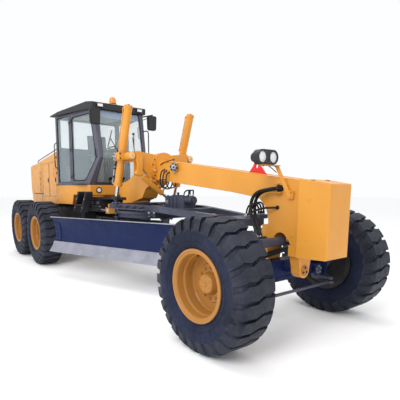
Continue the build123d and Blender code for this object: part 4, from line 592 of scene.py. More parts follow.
class Piece:
    """One object built from many shapes in a frame, each in its slot's material or another."""

    def __init__(self, name, body, slot, base=Matrix()):
        self.name, self.body, self.slot, self.base = name, body, slot, base
        self.points, self.faces, self.indices, self.materials = [], [], [], []

    def put(self, shape, matrix=Matrix(), material=None):
        material = material or self.slot
        points, faces = shape
        first = len(self.points)
        if material not in self.materials:
            self.materials.append(material)
        matrix = self.base @ matrix
        self.points += [matrix @ Vector(p) for p in points]
        self.faces += [[first + i for i in face] for face in faces]
        self.indices += [self.materials.index(material)] * len(faces)

    def block(self, low, high, edge=0.004, material=None):
        """Chamfered box between two corners."""
        low, high = Vector(low), Vector(high)
        size = [abs(s) for s in high - low]
        self.put(box(*size, edge), Matrix.Translation((low + high) / 2), material)

    def disc(self, place, facing, radius, low, high, edge=0.003, sides=32, material=None):
        """Drum at a place, from low to high along its facing."""
        self.put(drum(radius, low, high, edge, sides), at(place, facing), material)

    def discs(self, place, facing, *drums):
        """Drums on one line, each from its radius, low and high ends, edge, sides and material."""
        for values in drums:
            self.disc(place, facing, *values)

    def tube(self, path, radius, sides=8, material=None, bend=0.0):
        """Pipe along a path, with rounded corners where a bend is given."""
        self.put(pipe(rounded(path, bend) if bend else path, radius, sides), Matrix(), material)

    def loop(self, corners, bend, radius, sides=8, material=None):
        """Closed pipe with rounded corners."""
        self.put(pipe(rounded_loop(corners, bend), radius, sides, closed=True), Matrix(), material)

    def bolts(self, places, facing, radius, material=BLACK, spin=0.37):
        """Bolts, each turned by the spin from the one before."""
        shape = bolt(radius)
        for i, place in enumerate(places):
            self.put(shape, at(place, facing, spin * i), material)

    def done(self, sharp=38):
        mesh = bpy.data.meshes.new(self.name)
        mesh.from_pydata(self.points, [], self.faces)
        for material in self.materials:
            mesh.materials.append(MATERIALS[material])
        mesh.polygons.foreach_set("material_index", self.indices)
        work = bmesh.new()
        work.from_mesh(mesh)
        bmesh.ops.recalc_face_normals(work, faces=work.faces)
        work.to_mesh(mesh)
        work.free()
        mesh.polygons.foreach_set("use_smooth", [True] * len(mesh.polygons))
        mesh.set_sharp_from_angle(angle=math.radians(sharp))
        return shown(bpy.data.objects.new(self.name, mesh), self.body)


def side_piece(name, body, side, slot):
    """Piece of a body that each side has."""
    return Piece(f"{name}_{side_name(side)}", f"{body}_{side_name(side)}", slot)


def shown(piece, body):
    SCENE.collection.objects.link(piece)
    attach(piece, body)
    return piece


# Wheels


def wheel_piece(name, wheel, x, side, slot):
    """Piece in the wheel's own frame: X outboard, Z up, as its CAD pieces are drawn."""
    turn = Matrix.Rotation(math.radians(90 * side), 4, "Z")
    return Piece(name + wheel, "wheel_" + wheel, slot, moved(x, side * TRACK_HALF, AXLE_Z) @ turn)


def sidewall_at(radius):
    """Axial place of the tyre's bulged wall at a radius."""
    return WALL_CENTRE[0] + math.sqrt(WALL_RADIUS**2 - (WALL_CENTRE[1] - radius) ** 2)


def tread_ties(wheel, x, side):
    """Two low bars across each groove at its jog, and fine rings on the sidewalls."""
    piece = wheel_piece("tread_ties_", wheel, x, side, "tyre_rubber")
    tie = box(0.007, 0.052, 0.026, 0.002)
    for step in range(LUG_COUNT):
        turn = Matrix.Rotation(math.radians((step + 0.5) * 360 / LUG_COUNT), 4, "X")
        for offset in (-TIE_OFFSET, TIE_OFFSET):
            piece.put(tie, turn @ moved(offset, TIE_SLOPE * offset, TIE_RADIUS), "tread_rubber")
    for radius, thick in SIDEWALL_RINGS:
        for way in SIDES:
            piece.put(ring(radius, thick, 96, way * (sidewall_at(radius) - 0.0004), 6), OUTBOARD)
    piece.done()


def wheel_hardware(wheel, x, side):
    """Wheel nuts, hub cover bolts, lock ring and valve, and a black backing plate on a front wheel, painted
    shade that darkens its inside.
    """
    piece = wheel_piece("wheel_hardware_", wheel, x, side, BLACK)
    nut = join(bolt(0.0125), drum(0.0075, 0.01, 0.026, 0.002, 12))
    for a, b in around(12, 0.155):
        piece.put(nut, at((-0.014, b, a), X), RIM)
    piece.bolts([(0.062, b, a) for a, b in around(6, 0.068)], X, 0.005, RIM, spin=0)
    piece.disc((0.0615, 0, 0), X, 0.022, 0.0, 0.008, 0.002, 32, RIM)
    piece.put(ring(0.3415, 0.0035, 96, 0.1905, 8), OUTBOARD, SEAL)
    piece.put(ring(0.286, 0.0035, 96, -0.004, 6), OUTBOARD, RIM)
    valve = [(0.06, 0.0, 0.3), (0.105, 0.0, 0.292), (0.15, 0.0, 0.296)]
    piece.tube(valve, 0.005, 10, STEEL, 0.02)
    piece.disc(valve[-1], X, 0.007, 0.0, 0.018, 0.002, 12, TRIM)
    # Painted shade: a black plate with bolts fills the inside of a front wheel to darken it.
    if wheel.startswith("front"):
        cover = [(-0.168, 0.105), (-0.16, 0.105), (-0.15, 0.15), (-0.15, 0.235), (-0.162, 0.262)]
        cover += [(-0.162, 0.34), (-0.17, 0.34), (-0.17, 0.258), (-0.158, 0.231), (-0.158, 0.154)]
        piece.put(lathe(cover, 64, closed=True), OUTBOARD)
        piece.bolts([(-0.158, b, a) for a, b in around(10, 0.195)], -X, 0.005, spin=0)
    piece.done()


# Hoses


def cord(name, radius, length, points, body, lay="hanging"):
    """Smooth hose through the points of its CAD route."""
    curve = bpy.data.curves.new(name, "CURVE")
    curve.dimensions = "3D"
    curve.bevel_depth = radius
    curve.bevel_resolution = 5
    curve.resolution_u = 16
    curve.use_fill_caps = True
    spline = curve.splines.new("NURBS")
    spline.points.add(len(points) - 1)
    for point, place in zip(spline.points, points):
        point.co = (*place, 1)
    spline.order_u = 3
    spline.use_endpoint_u = True
    curve.materials.append(MATERIALS["hose_rubber"])
    piece = shown(bpy.data.objects.new(name, curve), body)
    return piece


def beam_hoses():
    """Three hoses on the beam's flank, with their grommets, clamp and the manifold at the head's foot."""
    cords = [cord(*hose, "front_frame") for hose in BEAM_HOSES]
    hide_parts("beam_hoses")
    piece = Piece("hose_manifold", "front_frame", BLACK)
    piece.block((3.6, -0.295, 1.022), (3.685, -0.15, 1.062), 0.006)
    for _, radius, _, points in BEAM_HOSES:
        piece.discs(points[0], -Y, (radius * 1.9, 0.0, 0.01, 0.003, 32, SEAL),
                    (radius * 1.35, 0.0, 0.028, 0.003, 32, "hose_rubber"))
    nut = lathe([(0, 0), (0, 0.027), (0.014, 0.027), (0.014, 0)], 6)
    lean = (-0.12, 0, 0.22)
    for y in (-0.217, -0.262):
        piece.disc((3.632, y, 1.058), lean, 0.023, 0.0, 0.034, 0.003, 20, STEEL)
        piece.put(nut, at((3.634, y, 1.058), lean), STEEL)
    piece.block((3.522, -0.292, 1.42), (3.562, -0.187, 1.432), 0.003, TRIM)
    piece.block((3.78, -0.215, 1.558), (3.88, -0.15, 1.565), 0.002, BODY)
    piece.block((3.78, -0.18, 1.655), (3.83, -0.15, 1.661), 0.002, BODY)
    piece.bolts([(3.66, -0.17, 1.062), (3.66, -0.27, 1.062)], Z, 0.007)
    piece.disc(BEAM_HOSES[2][3][-1], (-0.17, 0, -0.08), 0.016, 0.0, 0.04, 0.003, 18, STEEL)
    piece.done()


# Front frame


def saddle_trim():
    """Bolts round the saddle's disc, its hub, the swivel bosses on the yokes and their cover plates."""
    piece = Piece("saddle_trim", "front_frame", BODY)
    disc_bolts = [(1.38, a, 1.95 + b) for a, b in around(16, 0.225, 0.2) if abs(a) > 0.165]
    piece.bolts(disc_bolts, X, 0.008, TRIM)
    piece.put(ring(0.207, 0.005, 72, 1.38, 6), moved(0, 0, 1.95) @ OUTBOARD, WELD)
    piece.discs((1.378, -0.19, 1.905), X, (0.04, 0.0, 0.02, 0.004),
                (0.03, 0.018, 0.024, 0.002, 32, "red_lens"), (0.021, 0.02, 0.029, 0.003, 32, CREAM))
    spot = LIFT_EYE + (LIFT_TOP - LIFT_EYE) * (TRUNNION_UP / (LIFT_TOP - LIFT_EYE).length)
    for side in SIDES:
        for end in SIDES:
            face = Vector((spot.x, side * spot.y + end * 0.13, spot.z))
            piece.disc(face, Y * end, 0.052, 0.0, 0.008, 0.002, 32, STEEL)
            plate_bolts = [face + Vector((a, end * 0.008, b)) for a, b in around(4, 0.036, 0.6)]
            piece.bolts(plate_bolts, Y * end, 0.007)
        piece.discs((1.184, side * 0.575, spot.z), X, (0.06, 0.0, 0.15, 0.004),
                    (0.05, 0.148, 0.168, 0.006, 32, CREAM), (0.01, 0.166, 0.178, 0.002, 12, STEEL))
        base_bolts = [(1.185, side * y, spot.z + z) for y in (0.5, 0.7) for z in (-0.035, 0.035)]
        piece.bolts(base_bolts, X, 0.009)
        rim = ((0.1, 1.8), (0.1, 2.15), (0.5, spot.z + 0.075))
        piece.tube([(1.2795, side * y, z) for y, z in rim], 0.006, 8, WELD)
    piece.done()


def lock_cylinder():
    """Round lock cylinder with its fittings on the beam's right flank, ahead of the saddle."""
    piece = Piece("lock_cylinder", "front_frame", BLACK)
    middle = Vector((1.93, -0.208, 1.925))
    aim = Vector((0.8, -0.6, 0))
    piece.block((1.86, -0.19, 1.86), (1.96, -0.15, 1.99), 0.006, BODY)
    piece.discs(middle, aim, (0.058, -0.045, 0.03, 0.008), (0.036, 0.028, 0.044, 0.006, 32, STEEL),
                (0.014, 0.04, 0.058, 0.004, 16))
    for a, b in around(6, 0.048, 0.3):
        piece.put(bolt(0.006), at(middle, aim) @ moved(a, b, 0.03), STEEL)
    for offset, facing in (((0.02, -0.01, 0.064), (0.3, -0.2, 1)), ((0.05, -0.03, -0.06), (0.7, -0.2, -1))):
        piece.put(fitting(0.009), at(middle + Vector(offset), facing), STEEL)
    line = [middle + Vector((0.026, -0.015, 0.085)), middle + Vector((0.04, -0.02, 0.115))]
    line += [(1.8, -0.172, 2.035), (1.6, -0.158, 2.02), (1.5, -0.158, 1.985)]
    piece.tube(line, 0.007, 10, bend=0.03)
    piece.done()


def saddle_hoses():
    """Hoses that hang from the beam's flank beside the saddle and go up into its underside."""
    piece = Piece("saddle_fittings", "front_frame", BLACK)
    for hose in SADDLE_HOSES:
        cord(*hose, "front_frame")
        for place, facing, low, high in ((hose[3][0], -Y, -0.003, 0.01), (hose[3][-1], -Z, -0.01, 0.006)):
            piece.put(fitting(0.01), at(place, facing), STEEL)
            piece.disc(place, facing, 0.018, low, high, 0.002, 20)
    piece.block((1.6, -0.252, 1.742), (1.75, -0.206, 1.756), 0.003, TRIM)
    piece.done()


def beam_top(x):
    """Height of the beam's top plate ahead of the saddle."""
    (x0, z0), (x1, z1) = BEAM_LINE[1:3]
    return z0 + (x - x0) / (x1 - x0) * (z1 - z0)


def beam_seams():
    """Weld beads of the beam's box, the lug's foot, the head's rim and the arch at its foot."""
    piece = Piece("beam_seams", "front_frame", BODY)
    for side in SIDES:
        y = side * 0.1485
        piece.tube([(x, y, z + 0.0008) for x, z in BEAM_LINE], 0.0035, 8, WELD)
        piece.tube([(x, y, z) for x, z in BEAM_UNDER], 0.0035, 8, WELD)
        foot = [(x, side * 0.0155, beam_top(x) + 0.001) for x in (3.252, 3.508)]
        piece.tube(foot, 0.005, 8, WELD)
        piece.tube([(4.1505, side * 0.152, 0.905), (4.1505, side * 0.152, 1.672)], 0.005, 8, WELD)
    half_circle = list(around(32, ARCH_RADIUS))[:17]
    for side in SIDES:
        arch = [(ARCH_CENTRE[0] + a, side * 0.15, ARCH_CENTRE[1] + b) for a, b in half_circle]
        piece.tube(arch, 0.005, 8, WELD)
    piece.bolts([(4.0, FLANK, 1.1), (4.08, FLANK, 1.1)], -Y, 0.008, BODY)
    piece.done()


def block_trim():
    """Plugs of the front block's threads, and the cover plates on the lower lug."""
    piece = Piece("block_trim", "front_frame", BODY)
    for y in (-0.13, 0.13):
        top = 1.7 - (4.22 - BLOCK_REAR) / BLOCK_LENGTH * 0.05
        piece.disc((4.22, y, top), (0.16, 0, 1), 0.022, -0.004, 0.004, 0.002, 32, BLACK)
    for x, z in ((4.25, 1.5), (4.25, 1.1)):
        for side in SIDES:
            y = side * (0.26 - (x - BLOCK_REAR) / BLOCK_LENGTH * 0.07)
            piece.disc((x, y, z), (0.23, side, 0), 0.017, -0.004, 0.005, 0.002)
    for x, face, z in ((3.974, -1, 0.72), (4.078, 1, 0.72)):
        piece.disc((x + face * 0.002, 0.0, z), X * face, 0.06, -0.002, 0.01, 0.003, 32, RIM)
        piece.bolts([(x + face * 0.011, a, z + b) for a, b in around(3, 0.034, 1.57)], X * face, 0.009)
    piece.done()


def lamp_trim():
    """Bezels, lenses, backs and cable of the twin lamp, and the bolts of its arm."""
    piece = Piece("lamp_trim", "front_frame", "lamp_lens")
    lens = [(0.0005, 0), (0.0005, 0.0585), (0.004, 0.0585), (0.0095, 0.042), (0.0125, 0.02), (0.013, 0)]
    back = [(-0.03, 0), (-0.03, 0.069), (0.006, 0.066), (0.018, 0.055)]
    back += [(0.04, 0.048), (0.048, 0.036), (0.05, 0)]
    for y in LAMP_YS:
        piece.put(lathe(lens, 40), at((3.841, y, LAMP_Z), X))
        piece.put(ring(0.062, 0.0045, 48, 3.8545, 8), moved(0, y, LAMP_Z) @ OUTBOARD, TRIM)
        places = [(3.855, y + a, LAMP_Z + b) for a, b in around(4, 0.069, 0.8)]
        piece.bolts(places, X, 0.003, STEEL, spin=0)
        piece.put(lathe(back, 36), at((3.768, y, LAMP_Z), -X), TRIM)
    wire = [(3.74, -0.33, 1.925), (3.715, -0.34, 1.9), (3.76, -0.24, 1.84), (3.79, -0.166, 1.78)]
    piece.tube(wire, 0.005, 8, "hose_rubber", 0.05)
    piece.bolts([(3.99, -0.182, z) for z in (1.535 - 0.012, 1.535 + 0.035)], -Y, 0.008, BODY)
    piece.bolts([(3.805, y, 1.844) for y in (-0.21, -0.4)], -Z, 0.007)
    piece.done()


# Cylinders


def spots(start, along, away):
    """Function for the place so far along a cylinder and so far off its middle line."""
    return lambda up, out=0.0: start + along * up + away * out


def lift_trim(side):
    """Ports and steel tubes along a lift cylinder, with clamps, and its gland's bolts."""
    piece = side_piece("lift_tube", "lift_barrel", side, BODY)
    mirrored = Vector((1, side, 1))
    start = LIFT_EYE * mirrored
    along = (LIFT_TOP * mirrored - start).normalized()
    back = Vector((-along.z, 0, along.x))
    away = (back * 0.6 - Y * 0.8 if side < 0 else back * 0.55 - Y * 0.84).normalized()
    spot = spots(start, along, away)
    for up in (0.272, 0.66, 1.47):
        piece.disc(spot(up), away, 0.014, 0.055, 0.084, 0.002, 16)
    lower = [spot(0.272, 0.08), spot(0.272, 0.094), spot(0.31, 0.094), spot(0.6, 0.094), spot(0.64, 0.094)]
    piece.tube(lower, 0.008, 12, STEEL, 0.02)
    piece.put(fitting(0.009), at(spot(0.62, 0.094), along), STEEL)
    for up in (0.38, 0.52):
        piece.put(box(0.03, 0.03, 0.042), at(spot(up, 0.079), away), BLACK)
    piece.put(box(0.05, 0.08, 0.036), at(spot(0.6, 0.078), away), BLACK)
    piece.tube([spot(0.9, 0.074), spot(1.4, 0.074), spot(1.47, 0.08)], 0.008, 12)
    piece.disc(spot(0.9, 0.074), -along, 0.012, -0.012, 0.02, 0.003, 14)
    for up in (1.02, 1.25):
        piece.put(box(0.03, 0.016, 0.03), at(spot(up, 0.068), away))
    cross = along.cross(Y).normalized()
    gland = [start + along * 0.25 + cross * a + Y * b for a, b in around(6, 0.062, 0.3)]
    piece.bolts(gland, -along, 0.006, spin=0)
    piece.discs(spot(1.521), along, (0.052, -0.002, 0.008), (0.016, 0.006, 0.016, 0.003, 16, BLACK))
    piece.done()


def shift_trim():
    """Tube, clamps and fittings along the centre-shift cylinder, and its trunnion's washers."""
    piece = Piece("shift_tube", "shift_barrel", BODY)
    along = (SHIFT_EYE - SHIFT_TOP).normalized()
    away = (Vector((0, -along.z, along.y)) * 0.75 + X * 0.66).normalized()
    spot = spots(SHIFT_TOP, along, away)
    for up in (0.125, 0.53):
        piece.disc(spot(up), away, 0.013, 0.038, 0.064, 0.002, 16)
        piece.put(fitting(0.008), at(spot(up, 0.062), away), STEEL)
    line = [spot(0.53, 0.075), spot(0.49, 0.075), spot(0.2, 0.072), spot(0.15, 0.072)]
    piece.tube(line, 0.007, 12, bend=0.02)
    for up in (0.24, 0.42):
        piece.put(box(0.026, 0.034, 0.026), at(spot(up, 0.056), away))
        piece.bolts([spot(up, 0.073)], away, 0.005)
    piece.put(ring(0.0455, 0.004, 40, 0.0, 8), at(spot(0.535), along))
    piece.disc(spot(0.092), along, 0.0475, -0.006, 0.006, 0.002, 32, CREAM)
    for end in SIDES:
        piece.disc((1.33 + end * 0.0365, -0.47, 1.865), X * end, 0.03, 0.0, 0.006, 0.002, 24, STEEL)
    piece.done()


def articulation_trim(side):
    """Ports, steel tube, clamp and gland ring of an articulation cylinder."""
    piece = side_piece("articulation_tube", "articulation_barrel", side, BLACK)
    y = side * 0.54
    for x in (-0.545, 0.03):
        piece.disc((x, y, 1.23), Z, 0.012, 0.034, 0.052, 0.002, 16)
    line = [(0.03, y, 1.278), (0.03, y, 1.29), (-0.1, y, 1.29), (-0.3, y, 1.29)]
    piece.tube(line, 0.007, 12, STEEL, 0.02)
    piece.put(fitting(0.008), at(line[-1], -X), STEEL)
    piece.put(box(0.024, 0.03, 0.024), moved(-0.2, y, 1.279))
    piece.put(ring(0.041, 0.0035, 36, 0.0, 6), at((0.045, y, 1.23), X))
    piece.done()


# Drawbar, circle and blade


def drive_trim():
    """Cover bolts, breather, small steel plate, ribs and hose fittings of the circle drive."""
    piece = Piece("drive_trim", "drawbar", DARK)
    places = [(x, y, 1.504) for x in (1.61, 1.74, 1.88, 2.01) for y in (-0.088, 0.088)]
    piece.bolts(places + [(1.61, 0, 1.504), (2.01, 0, 1.504)], Z, 0.01, DARK)
    piece.discs((1.76, 0, 1.503), Z, (0.06, 0.0, 0.012, 0.004), (0.016, 0.01, 0.04, 0.004, 20, BLACK),
                (0.022, 0.034, 0.052, 0.006, 20, BLACK))
    piece.block((1.605, -0.1325, 1.385), (1.665, -0.1295, 1.435), 0.001, STEEL)
    for x in (1.63, 1.75, 1.87, 1.99):
        for side in (-1, 1):
            piece.bolts([(x, side * 0.13, 1.3)], Y * side, 0.009, DARK)
    for x in (1.7, 1.8, 1.9):
        for side in SIDES:
            piece.block((x - 0.006, side * 0.129, 1.315), (x + 0.006, side * 0.142, 1.478), 0.002)
    for x in (2.085, 2.115, 2.145):
        piece.put(ring(0.0605, 0.005, 40, x, 6), moved(0, -0.06, 1.44) @ OUTBOARD)
    piece.bolts([(2.225, -0.06 + a, 1.44 + b) for a, b in around(4, 0.051, 0.8)], X, 0.006)
    for x, y, z in MOTOR_PORTS:
        piece.disc((x, y, z), Z, 0.016, -0.012, 0.01, 0.003, 20)
        piece.put(fitting(0.01), at((x, y, z + 0.006), Z), STEEL)
    for port in BOX_PORTS:
        piece.put(fitting(0.01), at(port, -X), STEEL)
        piece.disc(port, -X, 0.017, -0.004, 0.006, 0.002, 20, BLACK)
    piece.done()


def drawbar_hoses():
    """Hoses from the drive's motor down to its box, and from its box along the sunk plate."""
    for i, (x, y, z) in enumerate(MOTOR_PORTS):
        out = 0.03 * i
        points = (
            (x, y, z + 0.012), (x, y, z + 0.07), (x - 0.03, y + 0.03, z + 0.1),
            (x - 0.17, y + 0.05, z + 0.09), (x - 0.21, y + 0.05 + out, z + 0.05),
            (x - 0.215, y + 0.05 + out, 1.506),
        )
        cord(f"motor_hose_{i + 1}", 0.01, 0.33, points, "drawbar")
    for i, (x, y, z) in enumerate(BOX_PORTS):
        run = 0.1 + 0.05 * i
        points = (
            (x, y, z), (x - 0.09, y, z), (x - 0.16, y + 0.02, 1.335), (1.15, run + 0.05, 1.325),
            (0.92, run + 0.1, 1.338), (0.81, run + 0.12, 1.345), (0.765, run + 0.12, 1.345),
        )
        cord(f"plate_hose_{i + 1}", 0.011, 0.84, points, "drawbar", "loose")


def nose_hoses():
    """Hoses that arch over the drawbar's nose from a small block to its top plate."""
    piece = Piece("nose_fittings", "drawbar", DARK)
    piece.block((3.265, 0.045, 1.238), (3.385, 0.205, 1.292), 0.005)
    for i, (y, length) in enumerate(NOSE_HOSES):
        rise = 0.012 * i
        points = (
            (3.345, y, 1.292), (3.35, y, 1.37 + rise), (3.29, y, 1.425 + rise), (3.17, y + 0.02, 1.41),
            (3.11, y + 0.03, 1.33), (3.11, y + 0.03, 1.258),
        )
        cord(f"nose_hose_{i + 1}", 0.011, length, points, "drawbar")
        piece.discs(points[0], Z, (0.018, -0.006, 0.012, 0.002, 20, STEEL),
                    (0.015, 0.01, 0.04, 0.003, 20, BLACK))
        piece.disc(points[-1], Z, 0.018, -0.006, 0.014, 0.002, 20, STEEL)
        piece.bolts([(3.285, y, 1.292)], Z, 0.008)
    piece.done()


def drawbar_trim():
    """Hatch bolts on the sunk plate, ball caps, shoe bolts and welds along the arms."""
    piece = Piece("drawbar_trim", "drawbar", DARK)
    for side in SIDES:
        places = [(0.8 + 0.18 * i, side * (0.46 - 0.035 * i), 1.3165 - 0.0035 * i) for i in range(4)]
        piece.bolts(places, Z, 0.011, DARK)
        base = Vector((0.81, side * 0.6, 1.371))
        piece.disc(base, Z, 0.075, -0.004, 0.01, 0.004)
        piece.bolts([base + Vector((a, b, 0.01)) for a, b in around(6, 0.062, 0.5)], Z, 0.007, STEEL)
        piece.disc((0.735, side * 0.6, 1.358), Z, 0.01, 0.0, 0.018, 0.003, 12, STEEL)
    for angle in (38, 118, 242, 322):
        shoe = CIRCLE_AT @ Matrix.Rotation(math.radians(angle), 4, "Z")
        for b in (-0.04, 0.04):
            piece.put(bolt(0.011), shoe @ at((0.69, b, 1.245), X), STEEL)
            piece.put(bolt(0.009), shoe @ at((0.672, b, 1.195), -Z), STEEL)
    for side in SIDES:
        piece.tube([(x, side * (h + 0.001), 1.3005) for x, h in ((0.66, 0.636), (1.9, 0.475))], 0.006)
    piece.done()


def blade_face(z, behind=0.0):
    """Place of the moldboard's face, or so far behind it, at a height, in the blade's own frame."""
    return BLADE_CENTRE_X - math.sqrt((BLADE_RADIUS + behind) ** 2 - (z - BLADE_CENTRE_Z) ** 2)


def blade_skin(y0, y1, z0, z1, proud, thick, steps=10):
    """Curved plate that lies on the moldboard's face."""
    rings, points = [], []
    for i in range(steps + 1):
        z = z0 + (z1 - z0) * i / steps
        back = blade_face(z) + proud
        rings.append([len(points) + k for k in range(4)])
        points += [(back, y0, z), (back, y1, z), (back + thick, y1, z), (back + thick, y0, z)]
    faces = [rings[0][::-1], rings[-1]]
    for low, high in zip(rings, rings[1:]):
        faces += strip(low, high)
    return points, faces


def blade_trim():
    """Plough bolts through the wear strip, end plates, and a bare steel strip along the top edge that is a
    painted highlight.
    """
    piece = Piece("blade_trim", "blade", "wear_steel", BLADE)
    length = BLADE_LEFT - BLADE_RIGHT
    head = join(drum(0.013, -0.002, 0.003, 0.002, 16), box(0.011, 0.011, 0.01, 0.001))
    for i in range(PLOUGH_BOLTS):
        y = BLADE_RIGHT + 0.075 + (length - 0.15) * i / (PLOUGH_BOLTS - 1)
        for z in (0.625, 0.585):
            piece.put(head, at((blade_face(z) + 0.0283, y, z), (1, 0, 0.3)))
            piece.bolts([(blade_face(z, 0.018), y, z)], (-1, 0, -0.4), 0.011)
    for y0, y1 in ((BLADE_RIGHT, BLADE_RIGHT + 0.15), (BLADE_LEFT - 0.15, BLADE_LEFT)):
        piece.put(blade_skin(y0, y1, 0.655, 1.0, 0.0003, 0.01), material=BLUE)
        places = [(blade_face(z) + 0.01, y, z) for z in (0.7, 0.82, 0.95) for y in (y0 + 0.04, y1 - 0.04)]
        piece.bolts(places, X, 0.009, DARK, spin=0)
    # Painted highlight: a bare steel strip along the top edge for the bright line of light there.
    top = moved(blade_face(1.11) + 0.002, (BLADE_LEFT + BLADE_RIGHT) / 2, 1.1015)
    piece.put(box(0.01, length, 0.014, 0.003), top, STEEL)
    piece.done()


def carriage_trim():
    """Wear pad bolts on the blade's slide shoes and caps on the pitch pins."""
    piece = Piece("carriage_trim", "blade_carriage", DARK, BLADE)
    for side in SIDES:
        places = [(0.568, side * y, z + 0.035) for z in (0.65, 0.91) for y in (0.415, 0.445)]
        piece.bolts(places, Z, 0.007, STEEL, spin=0)
        piece.disc((0.5, side * 0.51, 0.72), Y * side, 0.026, 0.0, 0.012, 0.003, 32, STEEL)
    piece.done()


def circle_trim():
    """Bolts on the circle's arms, and the beads and bolts of its ring."""
    piece = Piece("circle_trim", "circle", DARK)
    for side in SIDES:
        for x in (0.29, 0.36, 0.43):
            for y in (0.445, 0.535):
                piece.put(bolt(0.01), BLADE @ at((x, side * y, 1.135), -Z), BLACK)
    for height in (1.2135, 1.156):
        piece.put(ring(0.6205, 0.004, 96, height, 6), CIRCLE_AT)
    for step in range(24):
        turn = Matrix.Rotation(math.radians(15 * step), 4, "Z")
        piece.put(bolt(0.008), CIRCLE_AT @ turn @ at((0.62, 0, 1.187), X))
    piece.done()


# Cab


def cab_half(x):
    return CAB_REAR_HALF + (x + CAB_LENGTH) / CAB_LENGTH * (CAB_FRONT_HALF - CAB_REAR_HALF)


def cab_front(z):
    """Place of the front wall at a height."""
    if z < CAB_WAIST:
        return FOOT_BACK * ((z - CAB_FLOOR) / (CAB_WAIST - CAB_FLOOR) - 1)
    return -TOP_BACK * (z - CAB_WAIST) / (CAB_TOP - CAB_WAIST)


def wall_loop(outline, side, out):
    """Side outline of x and z carried onto the cab's flank, so far outside it."""
    return [Vector((x, side * (cab_half(x) + out), z)) for x, z in outline]


def cab_seals():
    """Rubber seals round the fixed windows and gutters over the doors."""
    piece = Piece("cab_seals", "rear_frame", TRIM)
    for side in SIDES:
        piece.loop(wall_loop(SIDE_WINDOW, side, -0.012), 0.05, 0.011, 8, SEAL)
        piece.tube(wall_loop([(-1.55, 3.118), (-0.2, 3.118)], side, 0.006), 0.007, 8, SEAL)
    half = ((0.44, 1.73), (0.44, 2.2), (0.44, 3.09))
    outline = half + tuple((-y, z) for y, z in half[::-1])
    piece.loop([(cab_front(z) - 0.012, y, z) for y, z in outline], 0.05, 0.011, 8, SEAL)
    rear = [(-1.65, y, z) for y, z in ((0.66, 2.49), (0.66, 3.09), (-0.66, 3.09), (-0.66, 2.49))]
    piece.loop(rear, 0.05, 0.011, 8, SEAL)
    piece.done()


def door_trim(side):
    """Door's seal, its handle outside and its pull inside."""
    piece = side_piece("door_trim", "door", side, TRIM)
    piece.loop(wall_loop(DOOR_PANE, side, -0.008), 0.06, 0.01, 8, SEAL)
    handle = wall_loop([(-0.112, 2.205), (-0.112 - 0.012, 2.265), (-0.112 - 0.03, 2.345)], side, 0.016)
    face = Vector((0.15, side, 0)).normalized()
    for spot in (handle[0], handle[2]):
        piece.disc(spot, face, 0.012, -0.024, 0.004, 0.002, 16)
    piece.tube(handle, 0.009, 10)
    inner = wall_loop([(-0.2, 2.62), (-0.2, 2.64), (-0.24, 2.84), (-0.24, 2.86)], side, -0.048)
    piece.tube(bowed(inner, Y * side * -0.035), 0.009, 10, bend=0.02)
    piece.done()


def wipers():
    """Two wipers on the windscreen with their spindles."""
    piece = Piece("wipers", "rear_frame", TRIM)

    def on_glass(spot, out):
        return Vector((cab_front(spot[1]) + out, *spot))

    runs = (((-0.06, 2.225), (-0.245, 2.56), (-0.31, 2.4), (-0.19, 2.72)),
            ((0.27, 2.69), (0.25, 2.45), (0.255, 2.28), (0.25, 2.62)))
    for pivot, tip, low, high in runs:
        piece.disc(on_glass(pivot, -0.005), X, 0.02, -0.02, 0.016, 0.004, 20)
        piece.tube([on_glass(pivot, 0.006), on_glass(tip, 0.002)], 0.007)
        blade = [on_glass(low, -0.015), on_glass(high, -0.015)]
        piece.tube(blade, 0.007, 6, SEAL)
        piece.tube([p + X * 0.01 for p in blade], 0.005, 6)
    piece.done()


def grab_rails():
    """Tall grab rail at the cab's front left corner and short ones at its rear corners."""
    piece = Piece("grab_rails", "rear_frame", TRIM)
    rail = [(-0.125, 0.5, 2.76), (0.02, 0.53, 2.755), (0.035, 0.536, 2.7)]
    rail += [(0.045, 0.53, 2.2), (0.04, 0.525, 2.15), (-0.06, 0.49, 2.14)]
    piece.tube(rail, 0.011, 12, bend=0.05)
    for side in SIDES:
        ends = wall_loop([(-1.635, z) for z in (2.05, 2.09, 2.56, 2.6)], side, 0.0)
        piece.tube(bowed(ends, Y * side * 0.055), 0.01, 12, bend=0.03)
    piece.done()


def mirror_trim():
    """Fuller shells round the mirrors' heads, with faces, rims, knuckles and second rods."""
    piece = Piece("mirror_trim", "rear_frame", "chrome_rod")
    shell = [(0.51, 2.79), (0.5, 3.02), (0.515, 3.045), (0.69, 3.045)]
    shell += [(0.705, 3.02), (0.695, 2.79), (0.67, 2.765), (0.535, 2.765)]
    profile = [(p.x, p.y) for p in rounded_loop([(y, z, 0) for y, z in shell], 0.03)]
    swell = [(0.602 + (y - 0.602) * 0.86, 2.905 + (z - 2.905) * 0.9) for y, z in profile]
    pane = ((0.525, 2.785), (0.525, 3.03), (0.68, 3.03), (0.68, 2.785))
    for side in SIDES:
        stand = Matrix(((0, 0, 1, 0), (side, 0, 0, 0), (0, 1, 0, 0), (0, 0, 0, 1)))
        piece.put(slab(profile, 0.031, 0.074), stand, TRIM)
        piece.put(slab(swell, 0.073, 0.084), stand, TRIM)
        loop = rounded_loop([(0.0295, side * y, z) for y, z in pane], 0.025)
        piece.put(slab([(side * p.y, p.z) for p in loop], 0.0285, 0.0305), stand, "mirror_face")
        piece.put(pipe(loop, 0.005, 8, closed=True), material=TRIM)
        piece.disc((0.05, side * 0.61, 3.035), Z, 0.016, -0.014, 0.014, 0.003, 20, TRIM)
        piece.tube([(-0.19, side * 0.545, 2.995), (0.045, side * 0.612, 3.04)], 0.006, 10, TRIM)
    piece.done()


